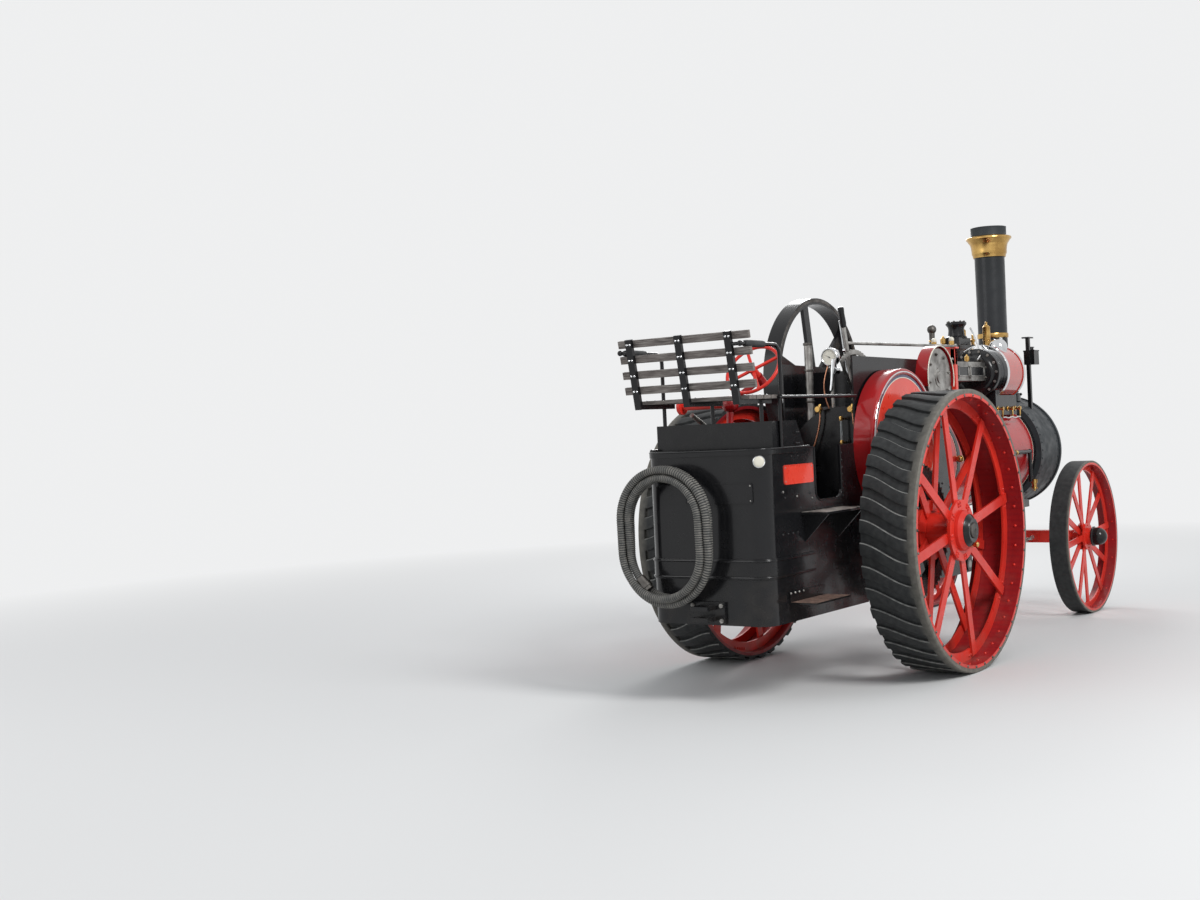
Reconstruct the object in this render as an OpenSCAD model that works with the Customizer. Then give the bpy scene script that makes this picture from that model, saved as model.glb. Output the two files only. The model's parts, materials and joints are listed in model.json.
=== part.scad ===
// Steam traction engine, standing parked on level ground.
// +X forward, +Y left, +Z up, millimetres. Inside the modules X starts at the rear axle.

/* [Wheels] */
// Distance between the rear and the front axle
wheelbase = 3036; // [2700:3300]
// Radius of a rear wheel to the tips of its rubber strakes
rear_r = 915; // [800:1000]
// Distance from the middle of the engine to a rear wheel's outer face
rear_out = 1007; // [950:1100]
// Width of a rear wheel
rear_w = 364; // [300:450]
// Thickness of the rubber on a rear wheel
rear_rubber = 30; // [20:40]
// Radius of a front wheel
front_r = 621; // [550:700]
// Distance from the middle of the engine to a front wheel's outer face
front_out = 773; // [700:850]
// Width of a front wheel
front_w = 148; // [120:180]
// Thickness of the rubber on a front wheel
front_rubber = 16; // [10:25]
// Radius of the rear axle
axle_r = 60; // [50:80]
// Radius of the front axle's ends
stub_r = 34; // [28:45]
// Radial running clearance of shafts in their bores
run = 0.05; // [0.02:0.01:0.1]

/* [Boiler] */
// Height of the boiler's centreline
boiler_z = 1345; // [1250:1450]
// Radius of the lagged boiler barrel
boiler_r = 410; // [380:450]
// Where the firebox starts, ahead of the rear axle
firebox_x0 = 150; // [100:200]
// Where the firebox ends
firebox_x1 = 1000; // [900:1100]
// How far the smokebox reaches ahead of the front axle
smoke_ahead = 214; // [180:260]
// Length of the smokebox
smoke_len = 450; // [400:520]
// Radius of the smokebox
smoke_r = 455; // [430:480]
// Chimney centre, behind the front axle
chimney_back = 21; // [0:60]
// Height of the top of the chimney
chimney_top = 3237; // [3100:3400]
// Radius of the chimney pipe
chimney_r = 119; // [100:140]

/* [Motion] */
// Crankshaft centre, ahead of the rear axle
crank_x = 750; // [700:800]
// Height of the crankshaft above the firebox's top
crank_up = 175; // [160:200]
// Radius of the crankshaft
crank_r = 40; // [35:50]
// Radius of the flywheel
fly_r = 645; // [600:700]
// Middle of the flywheel's rim, left of the middle
fly_y = 510; // [490:530]
// Height of the cylinder's centreline
cyl_z = 1990; // [1950:2050]
// Cylinder centreline, right of the middle
cyl_y = 200; // [150:250]
// Height of the third shaft, straight above the rear axle
third_z = 1474; // [1400:1500]
// Radius of the third shaft
third_r = 35; // [30:45]
// Teeth on the final gear
final_teeth = 60; // [48:72]
// Teeth on the pinion that drives it
pinion_teeth = 18; // [15:24]
// Radius of the red gear cover
cover_r = 500; // [450:520]

/* [Tender] */
// Half the width of the tender
tender_y = 420; // [400:450]
// Back of the tender, behind the rear axle
tender_x0 = 1640; // [1550:1700]
// Height of the tender's top edge
tender_z1 = 1515; // [1480:1550]
// Height of the tender's bottom edge
tender_z0 = 480; // [450:550]
// Height of the floor the driver stands on
floor_z = 1060; // [1000:1100]
// Thickness of plates
plate = 12; // [8:16]

/* [Hidden] */
$fn = 48;
seat_lean = atan2(80, 420);
seat_x0 = 1770;
upright_h = 428;
seat_x = seat_x0 + 12 * cos(seat_lean) + upright_h * sin(seat_lean);
x_front = wheelbase + front_r;
axle_x = (seat_x - x_front) / 2;
rear_in = rear_out - rear_w;
front_in = front_out - front_w;
gear_gap = third_z - rear_r;
final_pitch_r = gear_gap * final_teeth / (final_teeth + pinion_teeth);
pinion_pitch_r = gear_gap * pinion_teeth / (final_teeth + pinion_teeth);
tooth = final_pitch_r * 2 / final_teeth;
horn_y = tender_y - 2 * plate;
horn_x1 = firebox_x1 + 60;
smoke_x1 = wheelbase + smoke_ahead;
smoke_x0 = smoke_x1 - smoke_len;
chimney_x = wheelbase - chimney_back;
firebox_axis_z = boiler_z + 20;
crank_z = firebox_axis_z + horn_y + crank_up;
drum_x = firebox_x1 + 310;
drum_z = 560;
drum_r = 50;
chain_y = 300;
chain_r = 10;
chain_back = 130;
chain_gap = 16;
worm_gap = 95;
worm_start = [-960, 500, 1745];
worm_reach = norm([drum_z - worm_start[2], drum_x - worm_start[0]]);
worm_angle = atan2(drum_z - worm_start[2], drum_x - worm_start[0]) + asin(worm_gap / worm_reach);
worm_len = sqrt(worm_reach * worm_reach - worm_gap * worm_gap) + 80;
wheel_hub = [-1000, 0, 2010];
wheel_tilt = 54;
fire_hole_z = 1330;
throw = 127;
pin_r = 32;
cyl_x0 = smoke_x0 - 680;
slide_x0 = cyl_x0 - 620;
lag_in = 185;
lag_out = 218;
slide_z0 = 1925;
slide_z1 = 2045;
hose_z = 1019;
touch = 0.3;
horn_front = [[horn_x1, 500], [drum_x + 70, 500], [drum_x + 70, 620], [horn_x1, 700], [horn_x1, 1560],
    [horn_x1 - 100, crank_z + 124], [crank_x - 120, crank_z + 130]];
horn_right = concat([[-430, 560]], horn_front, [[-430, crank_z + 144]]);
horn_left = concat([[-370, 560]], horn_front, [[90, crank_z + 144], [90, 1500], [-370, 1500]]);
big = 4000;

red = [0.72, 0.05, 0.05];
bright_red = [0.85, 0.12, 0.08];
black = [0.03, 0.03, 0.035];
rubber = [0.12, 0.12, 0.12];
steel = [0.5, 0.5, 0.5];
brass = [0.72, 0.55, 0.22];
wood = [0.4, 0.38, 0.35];

// Everything sits with the middle of its length at X = 0.
module engine_frame() {
    translate([axle_x, 0, 0])
        children();
}

module box(x0, x1, y0, y1, z0, z1) {
    translate([x0, y0, z0])
        cube([x1 - x0, y1 - y0, z1 - z0]);
}

module rod_x(y, z, x0, x1, r) {
    translate([x0, y, z])
        rotate([0, 90, 0])
            cylinder(h = x1 - x0, r = r);
}

module rod_y(x, z, y0, y1, r) {
    translate([x, y0, z])
        rotate([-90, 0, 0])
            cylinder(h = y1 - y0, r = r);
}

module rod_z(x, y, z0, z1, r) {
    translate([x, y, z0])
        cylinder(h = z1 - z0, r = r);
}

// A straight rod from one point to another.
module bar(a, b, r) {
    v = b - a;
    len = norm(v);
    translate(a)
        rotate([0, acos(v[2] / len), atan2(v[1], v[0])])
            cylinder(h = len, r = r);
}

// A ball where two rods meet.
module knob(p, r) {
    translate(p)
        sphere(r = r);
}

// An outline in X and Z, made into a plate between two Y values.
module plate_xz(points, y0, y1) {
    translate([0, y1, 0])
        rotate([90, 0, 0])
            linear_extrude(height = y1 - y0)
                polygon(points);
}

module tube_x(y, z, x0, x1, r_out, r_in) {
    difference() {
        rod_x(y, z, x0, x1, r_out);
        rod_x(y, z, x0 - 1, x1 + 1, r_in);
    }
}

// Puts a shape made along +Z on an axle, so that its Z is the distance from the middle.
module on_axle(side, x, z) {
    translate([x, 0, z])
        rotate([side > 0 ? -90 : 90, 0, 0])
            children();
}

module ring(z0, z1, r_out, r_in) {
    translate([0, 0, z0])
        difference() {
            cylinder(h = z1 - z0, r = r_out);
            translate([0, 0, -1])
                cylinder(h = z1 - z0 + 2, r = r_in);
        }
}

// Flat straight spokes between two radii.
module spokes(count, first, r0, r1, width, z0, z1) {
    for (i = [0 : count - 1])
        rotate([0, 0, first + i * 360 / count])
            translate([r0, -width / 2, z0])
                cube([r1 - r0, width, z1 - z0]);
}

// Boiler

module boiler_barrel() {
    color(red)
        engine_frame() {
            rod_x(0, boiler_z, horn_x1 + touch, smoke_x0, boiler_r);
            rod_x(0, boiler_z, firebox_x1, horn_x1 + 1, horn_y - touch);
            for (x = [horn_x1 + 120, 1700, cyl_x0, smoke_x0 - 60])
                tube_x(0, boiler_z, x, x + 45, boiler_r + 4, boiler_r - 10);
        }
}

module firebox() {
    color(black)
        engine_frame()
            difference() {
                union() {
                    box(firebox_x0, firebox_x1, -horn_y, horn_y, 620, firebox_axis_z);
                    rod_x(0, firebox_axis_z, firebox_x0, firebox_x1, horn_y);
                    for (z = [1268, 1364])
                        box(firebox_x0 - 25, firebox_x0 + 1, 184, 216, z, z + 28);
                }
                box(firebox_x0 + 90, firebox_x1 - 90, -290, 290, 600, 1400);
                rod_x(0, 1400, firebox_x0 + 90, firebox_x1 - 90, 290);
                rod_x(0, fire_hole_z, firebox_x0 - 1, firebox_x0 + 100, 130);
                rod_z(firebox_x0 - 14, 200, 1200, 1450, 9 + run);
            }
}

module fire_door() {
    color(black)
        engine_frame() {
            rod_x(0, fire_hole_z, firebox_x0 - 20, firebox_x0 - touch, 160);
            box(firebox_x0 - 20, firebox_x0 - 8, 100, 200, 1310, 1350);
            rod_z(firebox_x0 - 14, 200, 1262, 1398, 9);
            rod_x(-110, fire_hole_z, firebox_x0 - 60, firebox_x0 - 15, 10);
        }
}

module smokebox() {
    color(black)
        engine_frame()
            difference() {
                union() {
                    rod_x(0, boiler_z, smoke_x0, smoke_x1, smoke_r);
                    rod_x(0, boiler_z, smoke_x1 - 30, smoke_x1, smoke_r + 10);
                    for (z = [-150, 150])
                        box(smoke_x1 - 5, smoke_x1 + 34, 380, 420, boiler_z + z - 60, boiler_z + z - 22);
                }
                rod_x(0, boiler_z, smoke_x0 + 20, smoke_x1 - 20, smoke_r - 14);
                rod_x(0, boiler_z, smoke_x1 - 21, smoke_x1 + 1, 330);
                rod_z(chimney_x, 0, boiler_z, 2000, chimney_r - 10);
                rod_z(smoke_x1 + 22, 400, 0, big, 9 + run);
            }
}

module smokebox_door() {
    color(black)
        engine_frame() {
            translate([smoke_x1 + touch, 0, boiler_z])
                rotate([0, 90, 0])
                    rotate_extrude()
                        polygon([[0, 0], [362, 0], [362, 14], [340, 20], [200, 44], [0, 52]]);
            for (z = [-150, 150])
                box(smoke_x1 + 10, smoke_x1 + 34, 180, 412, boiler_z + z - 17, boiler_z + z + 17);
            rod_z(smoke_x1 + 22, 400, boiler_z - 215, boiler_z + 175, 9);
            rod_x(0, boiler_z, smoke_x1 + 40, smoke_x1 + 80, 26);
            bar([smoke_x1 + 74, 0, boiler_z], [smoke_x1 + 74, 60, boiler_z - 150], 9);
        }
}

module chimney() {
    color(black)
        engine_frame()
            difference() {
                union() {
                    translate([chimney_x, 0, boiler_z + smoke_r - 30])
                        rotate_extrude()
                            polygon([[0, 0], [200, 0], [190, 60], [150, 100], [chimney_r + 6, 190],
                                [chimney_r + 6, 215], [chimney_r, 216], [chimney_r + 5, 1230], [0, 1230]]);
                }
                rod_x(0, boiler_z, smoke_x0 - 100, smoke_x1 + 100, smoke_r);
                rod_z(chimney_x, 0, 1500, big, chimney_r - 10);
            }
}

module chimney_cap() {
    color(brass)
        engine_frame()
            translate([chimney_x, 0, 0])
                rotate_extrude()
                    polygon([[chimney_r - 8, 3000], [chimney_r + 7, 3000], [chimney_r + 7, 2985],
                        [chimney_r + 14, 2985], [chimney_r + 22, 3040],
                        [150, 3090], [184, 3140], [184, 3152], [145, 3165], [145, chimney_top],
                        [118, chimney_top], [118, 3150], [chimney_r - 8, 3040]]);
}

module hornplates() {
    color(black)
        engine_frame()
            difference() {
                union() {
                    for (side = [-1, 1])
                        plate_xz(side < 0 ? horn_right : horn_left,
                            side < 0 ? -horn_y - plate : horn_y, side < 0 ? -horn_y : horn_y + plate);
                    for (side = [-1, 1]) {
                        boss(side, 0, rear_r, horn_y - 20, tender_y - touch, 125);
                        boss(side, crank_x, crank_z, horn_y - 60, horn_y + 30, 85);
                        boss(side, drum_x, drum_z, horn_y - 10, horn_y + 24, 50);
                    }
                    boss(-1, 0, third_z, horn_y - 10, tender_y - touch, 75);
                    box(crank_x - 250, crank_x - 238, -horn_y, horn_y, crank_z - 166, crank_z + 84);
                    box(crank_x + 250, crank_x + 262, -horn_y, horn_y, crank_z - 146, crank_z + 64);
                }
                rod_y(0, rear_r, -big, big, axle_r + run);
                rod_y(0, third_z, -big, -1, third_r + run);
                rod_y(crank_x, crank_z, -big, big, crank_r + run);
                rod_y(drum_x, drum_z, -big, big, 28 + run);
                box(crank_x + 240, crank_x + 270, -280, -120, crank_z - 86, crank_z + 114);
            }
}

module boss(side, x, z, y0, y1, r) {
    on_axle(side, x, z)
        translate([0, 0, y0])
            cylinder(h = y1 - y0, r = r);
}

// Motion

module cylinder_block() {
    color(black)
        engine_frame() {
            rod_x(-cyl_y, cyl_z, cyl_x0, cyl_x0 + 105, 190);
            rod_x(-cyl_y, cyl_z, cyl_x0 + 105, cyl_x0 + 480, lag_in);
            rod_x(-cyl_y, cyl_z, cyl_x0 + 478, cyl_x0 + 520, 150);
            difference() {
                union() {
                    box(cyl_x0 + 60, cyl_x0 + 500, -330, 120, 1650, 1960);
                    box(cyl_x0 + 80, cyl_x0 + 480, -40, 140, 1850, 2170);
                }
                rod_x(0, boiler_z, cyl_x0, smoke_x0, boiler_r);
                rod_x(-cyl_y, cyl_z, cyl_x0 + 102, cyl_x0 + 482, lag_out + 6);
            }
            box(cyl_x0 + 483, cyl_x0 + 500, -330, 0, 1800, 1990);
            box(cyl_x0 + 60, cyl_x0 + 101, -330, 0, 1800, 1990);
        }
}

module cylinder_lagging() {
    color(bright_red)
        engine_frame()
            for (r = [[105, 478, lag_out], [105, 142, lag_out + 6], [442, 478, lag_out + 6]])
                tube_x(-cyl_y, cyl_z, cyl_x0 + r[0], cyl_x0 + r[1], r[2], lag_in);
}

module valve_gear_top() {
    color(black)
        engine_frame() {
            box(cyl_x0 + 80, cyl_x0 + 400, -40, 140, 2170, 2230);
            box(cyl_x0 + 120, cyl_x0 + 360, -20, 120, 2225, 2290);
            rod_z(cyl_x0 + 240, 50, 2285, 2400, 60);
            rod_z(cyl_x0 + 240, 50, 2395, 2415, 78);
            rod_z(cyl_x0 + 380, 60, 2225, 2360, 30);
        }
}

module slide_bars() {
    color(steel)
        engine_frame()
            difference() {
                union() {
                    for (z = [slide_z0, slide_z1])
                        box(slide_x0, cyl_x0, -290, -110, z, z + 26);
                    for (y = [-290, -128])
                        box(slide_x0, cyl_x0, y, y + 18, slide_z0 + 10, slide_z1 + 10);
                    box(slide_x0 - 20, slide_x0 + 10, -300, -100, 1650, slide_z1 + 126);
                }
                box(slide_x0 - 30, slide_x0 + 20, -268, -132, slide_z0 - 45, slide_z1);
                rod_x(0, boiler_z, slide_x0 - 100, slide_x0 + 100, boiler_r);
            }
}

module connecting_rod() {
    color(steel)
        engine_frame() {
            rod_x(-cyl_y, cyl_z, slide_x0 + 200, cyl_x0, 26);
            box(slide_x0 + 100, slide_x0 + 220, -262, -138, slide_z0 + 26, slide_z1);
            bar([crank_x + throw + 68, -cyl_y, crank_z + 7], [slide_x0 + 140, -cyl_y, cyl_z], 26);
        }
}

module crank_guard() {
    color(red)
        engine_frame()
            difference() {
                rod_y(crank_x, crank_z, -500, -horn_y - plate, 225);
                rod_y(crank_x, crank_z, -501, -horn_y - plate + 1, 219);
                box(0, crank_x + 400, -big, big, crank_z - 400, crank_z - 60);
            }
}

module crankshaft() {
    color(steel)
        engine_frame() {
            rod_y(crank_x, crank_z, -470, -cyl_y - 36, crank_r);
            rod_y(crank_x, crank_z, -cyl_y + 36, 580, crank_r);
            rod_y(crank_x + throw, crank_z, -cyl_y - 60, -cyl_y + 60, pin_r);
            for (y = [-cyl_y - 70, -cyl_y + 36])
                box(crank_x - 150, crank_x + throw + 40, y, y + 34, crank_z - 48, crank_z + 48);
            rod_y(crank_x, crank_z, -485, -450, 205);
        }
}

module flywheel() {
    color(black)
        engine_frame()
            translate([crank_x, 0, crank_z])
                rotate([-90, 0, 0]) {
                    ring(fly_y - 60, fly_y + 60, fly_r, fly_r - 45);
                    ring(fly_y - 50, fly_y + 50, 105, crank_r);
                    spokes(6, 20, 90, fly_r - 30, 75, fly_y - 14, fly_y + 14);
                }
}

module gear_cover() {
    color(red)
        engine_frame()
            difference() {
                rod_y(10, third_z + 16, -550, -tender_y, cover_r);
                rod_y(10, third_z + 16, -542, -tender_y + 10, cover_r - 8);
                rod_y(0, third_z, -big, big, third_r + 12);
            }
}

module third_shaft() {
    color(steel)
        engine_frame() {
            rod_y(0, third_z, -642, -horn_y + 5, third_r);
            rod_y(0, third_z, -640, -572, pinion_pitch_r - tooth * 0.6);
            rod_y(0, third_z, -520, -460, 430);
        }
}

// Tender

// The tender from above: a rectangle with its two rear corners rounded.
module tender_outline(grow) {
    r = 100 + grow;
    x0 = -tender_x0 - grow;
    y1 = tender_y + grow;
    translate([x0 + r, -y1])
        square([-370 - x0 - r, 2 * y1]);
    translate([x0, -y1 + r])
        square([r + 1, 2 * (y1 - r)]);
    for (s = [-1, 1])
        translate([x0 + r, s * (y1 - r)])
            circle(r = r);
}

module tender() {
    color(black)
        engine_frame() {
            difference() {
                translate([0, 0, tender_z0])
                    linear_extrude(height = tender_z1 - tender_z0)
                        tender_outline(0);
                translate([0, 0, floor_z])
                    linear_extrude(height = big)
                        tender_outline(-plate);
                box(-1020, -690, -big, big, 1186, big);
                box(-380, 0, -big, big, floor_z, big);
                box(-431, 0, -horn_y - plate, horn_y + plate, 0, big);
            }
            box(-1080, -1050, -tender_y + plate, tender_y - plate, floor_z - 10, tender_z1);
            box(-432, firebox_x0, -horn_y, horn_y, floor_z - 20, floor_z);
        }
}

module coal_plates() {
    color(black)
        engine_frame() {
            for (y = [-tender_y + plate, tender_y - 2 * plate])
                plate_xz([[-1506, 1480], [-1100, 1480], [-1211, 1680], [-1467, 1680], [-1506, 1660]], y, y + plate);
            box(-1506, -1494, -tender_y + plate, tender_y - plate, 1480, 1680);
        }
}

module drawbar_hitch() {
    color(black)
        engine_frame()
            difference() {
                union() {
                    box(-tender_x0 - 115, -tender_x0, -60, 60, 510, 534);
                    box(-tender_x0 - 115, -tender_x0, -60, 60, 576, 600);
                    box(-tender_x0 - 20, -tender_x0, -120, 120, 490, 620);
                }
                rod_z(-tender_x0 - 75, 0, 400, 700, 20);
            }
}

module steps() {
    color(black)
        engine_frame()
            for (side = [0, 1])
                mirror([0, side, 0]) {
                    box(-1230, -700, tender_y, 602, 1110, 1122);
                    box(-1420, -980, tender_y, 602, 590, 600);
                    box(-1420, -980, tender_y, tender_y + plate, 590, 660);
                    for (x = [-1190, -750])
                        translate([x, 0, 0])
                            rotate([90, 0, 90])
                                linear_extrude(height = 10)
                                    polygon([[tender_y, 1110], [590, 1110], [tender_y, 940]]);
                }
}

module side_rail() {
    color(black)
        engine_frame() {
            rail_y = tender_y - plate + 11 + touch;
            rod_x(-rail_y, 1820, -1431, -430, 11);
            rod_z(-1420, -rail_y, tender_z1, 1820, 11);
            rod_x(tender_y, tender_z1 + 12, -1560, -1060, 12);
        }
}

// Seat

// Leans like the back of the seat, with Z up along its uprights.
module seat_back_frame() {
    translate([-seat_x0, 0, 1786])
        rotate([0, -seat_lean, 0])
            children();
}

module seat_frame() {
    color(black)
        engine_frame()
            for (y = [-340, 0, 350]) {
                seat_back_frame()
                    box(-12, 12, y - 22, y + 22, 0, upright_h);
                box(-1765, -1400, y - 14, y + 14, 1786, 1814);
                rod_z(-1500, y, 1680, 1790, 12);
            }
}

module seat_slats() {
    color(wood)
        engine_frame() {
            seat_back_frame()
                for (i = [0 : 3])
                    box(12, 34, -470, 440, 375 - i * 95, 420 - i * 95);
            for (i = [0 : 3])
                box(-1720 + i * 85, -1645 + i * 85, -392, 392, 1814, 1836);
        }
}

// Controls

// With Z up along the steering wheel's shaft, and its middle at the origin.
module wheel_frame() {
    translate(wheel_hub)
        rotate([0, -wheel_tilt, 0])
            children();
}

module steering_column() {
    color(red)
        engine_frame()
            difference() {
                union() {
                    bar([-1062, 160, tender_z1 + 6], [-1030, 160, 1780], 22);
                    rod_z(-1065, 160, tender_z1, tender_z1 + 14, 30);
                    translate([-1030, 160, 1800])
                        sphere(r = 55);
                    wheel_frame()
                        rod_z(0, 0, -150, -70, 32);
                    bar([-920, 10, 1940], [-1010, 140, 1830], 20);
                }
                rod_y(-1030, 1800, 145, 300, 24 + run);
                wheel_frame()
                    rod_z(0, 0, -120, 0, 15 + run);
            }
}

module steering_wheel() {
    color(bright_red)
        engine_frame()
            wheel_frame() {
                rotate_extrude()
                    translate([180, 0])
                        circle(r = 11);
                rod_z(0, 0, -60, 14, 26);
                rod_z(0, 0, -115, -50, 15);
                spokes(4, 30, 10, 178, 18, -6, 6);
            }
}

module cross_shaft() {
    color(red)
        engine_frame() {
            rod_y(-1030, 1800, 150, 530, 24);
            rod_y(-1030, 1800, 515, 540, 50);
        }
}

// With Z along the shaft that runs forward and down to the worm.
module worm_frame() {
    translate(worm_start)
        rotate([0, 90 - worm_angle, 0])
            children();
}

module worm_shaft() {
    color(steel)
        engine_frame()
            worm_frame() {
                rod_z(0, 0, 0, worm_len, 16);
                rod_z(0, 0, worm_len - 140, worm_len - 20, 22);
            }
}

module shaft_brackets() {
    color(black)
        engine_frame()
            for (t = [400, 2000])
                difference() {
                    union() {
                        worm_frame()
                            rod_z(0, 0, t, t + 70, 30);
                        worm_frame()
                            box(-25, 25, horn_y + plate - worm_start[1] + (t < 1000 ? plate : 0), 0, t + 10, t + 60);
                    }
                    worm_frame()
                        rod_z(0, 0, t - 10, t + 80, 16 + run);
                }
}

module chain_drum() {
    color(steel)
        engine_frame() {
            rod_y(drum_x, drum_z, -horn_y - 24, 512, 28);
            for (s = [-1, 1])
                rod_y(drum_x, drum_z, s * chain_y - 70, s * chain_y + 70, drum_r);
            rod_y(drum_x, drum_z, 488, 512, 66);
        }
}

module steering_chain(side) {
    y = side * chain_y;
    z = drum_z + side * (drum_r + chain_r + touch);
    start = [drum_x, y, z];
    end = [wheelbase - 60 - chain_gap, y, front_r];
    dir = (end - start) / norm(end - start);
    bar(start - dir * chain_back, end, chain_r);
}

module chain_left() {
    color(steel)
        engine_frame()
            steering_chain(1);
}

module chain_right() {
    color(steel)
        engine_frame()
            steering_chain(-1);
}

module levers() {
    color(steel)
        engine_frame() {
            rod_y(-205, 1800, -horn_y, -286, 14);
            bar([-205, -300, 1800], [-350, -300, 2400], 14);
            bar([-290, -300, 2170], [slide_x0 - 5, -300, slide_z1 + 140], 10);
            rod_y(slide_x0 - 5, slide_z1 + 140, -312, -88, 14);
        }
}

module gauge_fittings() {
    color(steel)
        engine_frame()
            difference() {
                union() {
                    rod_x(70, 2110, 170, 215, 62);
                    rod_z(200, 70, 1700, 2080, 14);
                    rod_z(200, 250, 1600, 2210, 28);
                }
                rod_x(0, firebox_axis_z, firebox_x0, firebox_x1, horn_y);
            }
}

module governor() {
    color(steel)
        engine_frame()
            difference() {
                union() {
                    rod_z(1900, 60, 1700, 2330, 22);
                    translate([1900, 60, 2350])
                        sphere(r = 36);
                }
                rod_x(0, boiler_z, firebox_x1, smoke_x0, boiler_r);
            }
}

module perch_bracket() {
    color(black)
        engine_frame()
            difference() {
                union() {
                    box(smoke_x0 + 70, smoke_x1 - 40, -180, 180, 860, 960);
                    rod_z(wheelbase, 0, 760, 870, 110);
                }
                rod_z(wheelbase, 0, 500, 842, 40 + run);
                rod_x(0, boiler_z, smoke_x0, smoke_x1 + 50, smoke_r);
            }
}

module lamp_bracket() {
    color(black)
        engine_frame()
            difference() {
                union() {
                    box(chimney_x + 25, chimney_x + 55, -300, -270, 1600, 2280);
                    box(chimney_x - 5, chimney_x + 105, -310, -250, 2280, 2292);
                    box(chimney_x + 55, chimney_x + 165, -330, -240, 2060, 2180);
                }
                rod_x(0, boiler_z, smoke_x0, smoke_x1 + 50, smoke_r);
            }
}

module feed_pipe() {
    color(black)
        engine_frame() {
            y = -(boiler_r + 4 + 16);
            bar([horn_x1 + 130, y, boiler_z], [smoke_x0 - 200, y, boiler_z], 16);
            knob([smoke_x0 - 200, y, boiler_z], 20);
            bar([smoke_x0 - 200, y, boiler_z], [smoke_x0 - 200, y, 1100], 16);
        }
}

module ash_pan() {
    color(black)
        engine_frame()
            box(firebox_x0 + 50, firebox_x1 - 50, -330, 330, 470, 620);
}

module rear_axle() {
    color(steel)
        engine_frame()
            rod_y(0, rear_r, -935, 935, axle_r);
}

module hose_hook() {
    color(black)
        engine_frame()
            rod_x(225, hose_z + 95 + 230 - 12, -1810, -tender_x0, 12);
}

module hose_coil() {
    color(rubber)
        engine_frame()
            translate([-1800, 225, hose_z])
                rotate([0, 90, 0])
                    linear_extrude(height = 100)
                        difference() {
                            stadium(330, 95);
                            stadium(230, 95);
                        }
}

module stadium(r, half) {
    square([2 * half, 2 * r], center = true);
    for (s = [-1, 1])
        translate([s * half, 0])
            circle(r = r);
}

// Wheels

// Hub and rim are turned, and two rows of flat spokes join them.
module rear_wheel(side) {
    bore = axle_r + run;
    rim = rear_r - rear_rubber;
    on_axle(side, 0, rear_r) {
        rotate_extrude()
            polygon([[bore, 690], [200, 690], [200, 714], [115, 714], [115, 905], [200, 905], [200, 925],
                [128, 925], [122, 950], [75, 1000], [45, 1000], [45, rear_out], [0, rear_out], [0, 945],
                [bore, 945]]);
        rotate_extrude()
            polygon([[rim, rear_in], [rim, rear_out], [rim - 20, rear_out], [rim - 20, 890], [rim - 90, 890],
                [rim - 90, 876], [rim - 20, 876], [rim - 20, 714], [rim - 90, 714], [rim - 90, 700], [rim - 20, 700],
                [rim - 20, rear_in]]);
        spokes(8, 11, 125, rim - 35, 65, 890, 905);
        spokes(8, 33.5, 125, rim - 35, 65, 714, 729);
    }
}

module rear_tyre(side) {
    on_axle(side, 0, rear_r)
        ring(rear_in, rear_out, rear_r, rear_r - rear_rubber);
}

module rear_wheel_right() {
    color(bright_red)
        engine_frame()
            rear_wheel(-1);
}

module rear_tyre_right() {
    color(rubber)
        engine_frame()
            rear_tyre(-1);
}

module rear_wheel_left() {
    color(bright_red)
        engine_frame()
            rear_wheel(1);
}

module rear_tyre_left() {
    color(rubber)
        engine_frame()
            rear_tyre(1);
}

module final_gear() {
    color(black)
        engine_frame()
            on_axle(-1, 0, rear_r) {
                ring(572, 640, final_pitch_r - tooth * 0.6, 330);
                spokes(6, 0, 110, 350, 70, 600, 630);
                ring(572, 690, 130, axle_r + run);
            }
}

module front_wheel(side) {
    bore = stub_r + run;
    rim = front_r - front_rubber;
    inner = front_in + 41;
    outer = front_in + 105;
    cap = front_out + 40;
    dome = [for (a = [0 : 10 : 80]) [67 * cos(a), cap + 67 * sin(a)]];
    on_axle(side, wheelbase, front_r) {
        rotate_extrude()
            polygon(concat([[bore, front_in + 10], [70, front_in + 10], [70, inner], [110, inner],
                [110, inner + 14], [70, inner + 14], [70, outer - 14], [110, outer - 14], [110, outer],
                [70, outer], [70, cap]], dome, [[0, cap + 67], [0, front_out + 30], [bore, front_out + 30]]));
        rotate_extrude()
            polygon([[rim, front_in], [rim, front_out], [rim - 16, front_out], [rim - 16, front_in + 79],
                [rim - 60, front_in + 79], [rim - 60, front_in + 67], [rim - 16, front_in + 67], [rim - 16, front_in]]);
        spokes(6, 5, 60, rim - 30, 50, front_in + 79, front_in + 91);
        spokes(6, 35, 60, rim - 30, 50, front_in + 55, front_in + 67);
    }
}

module front_tyre(side) {
    on_axle(side, wheelbase, front_r)
        ring(front_in, front_out, front_r, front_r - front_rubber);
}

module front_wheel_right() {
    color(bright_red)
        engine_frame()
            front_wheel(-1);
}

module front_tyre_right() {
    color(rubber)
        engine_frame()
            front_tyre(-1);
}

module front_wheel_left() {
    color(bright_red)
        engine_frame()
            front_wheel(1);
}

module front_tyre_left() {
    color(rubber)
        engine_frame()
            front_tyre(1);
}

module front_axle() {
    color(red)
        engine_frame() {
            box(wheelbase - 45, wheelbase + 45, -600, 600, front_r - 50, front_r + 50);
            rod_y(wheelbase, front_r, -790, 790, stub_r);
            rod_z(wheelbase, 0, front_r, 760 - touch, 110);
            rod_z(wheelbase, 0, front_r, 832, 40);
            for (s = [-1, 1])
                box(wheelbase - 60, wheelbase - 40, s * chain_y - 30, s * chain_y + 30, front_r - 30, front_r + 30);
        }
}

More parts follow.
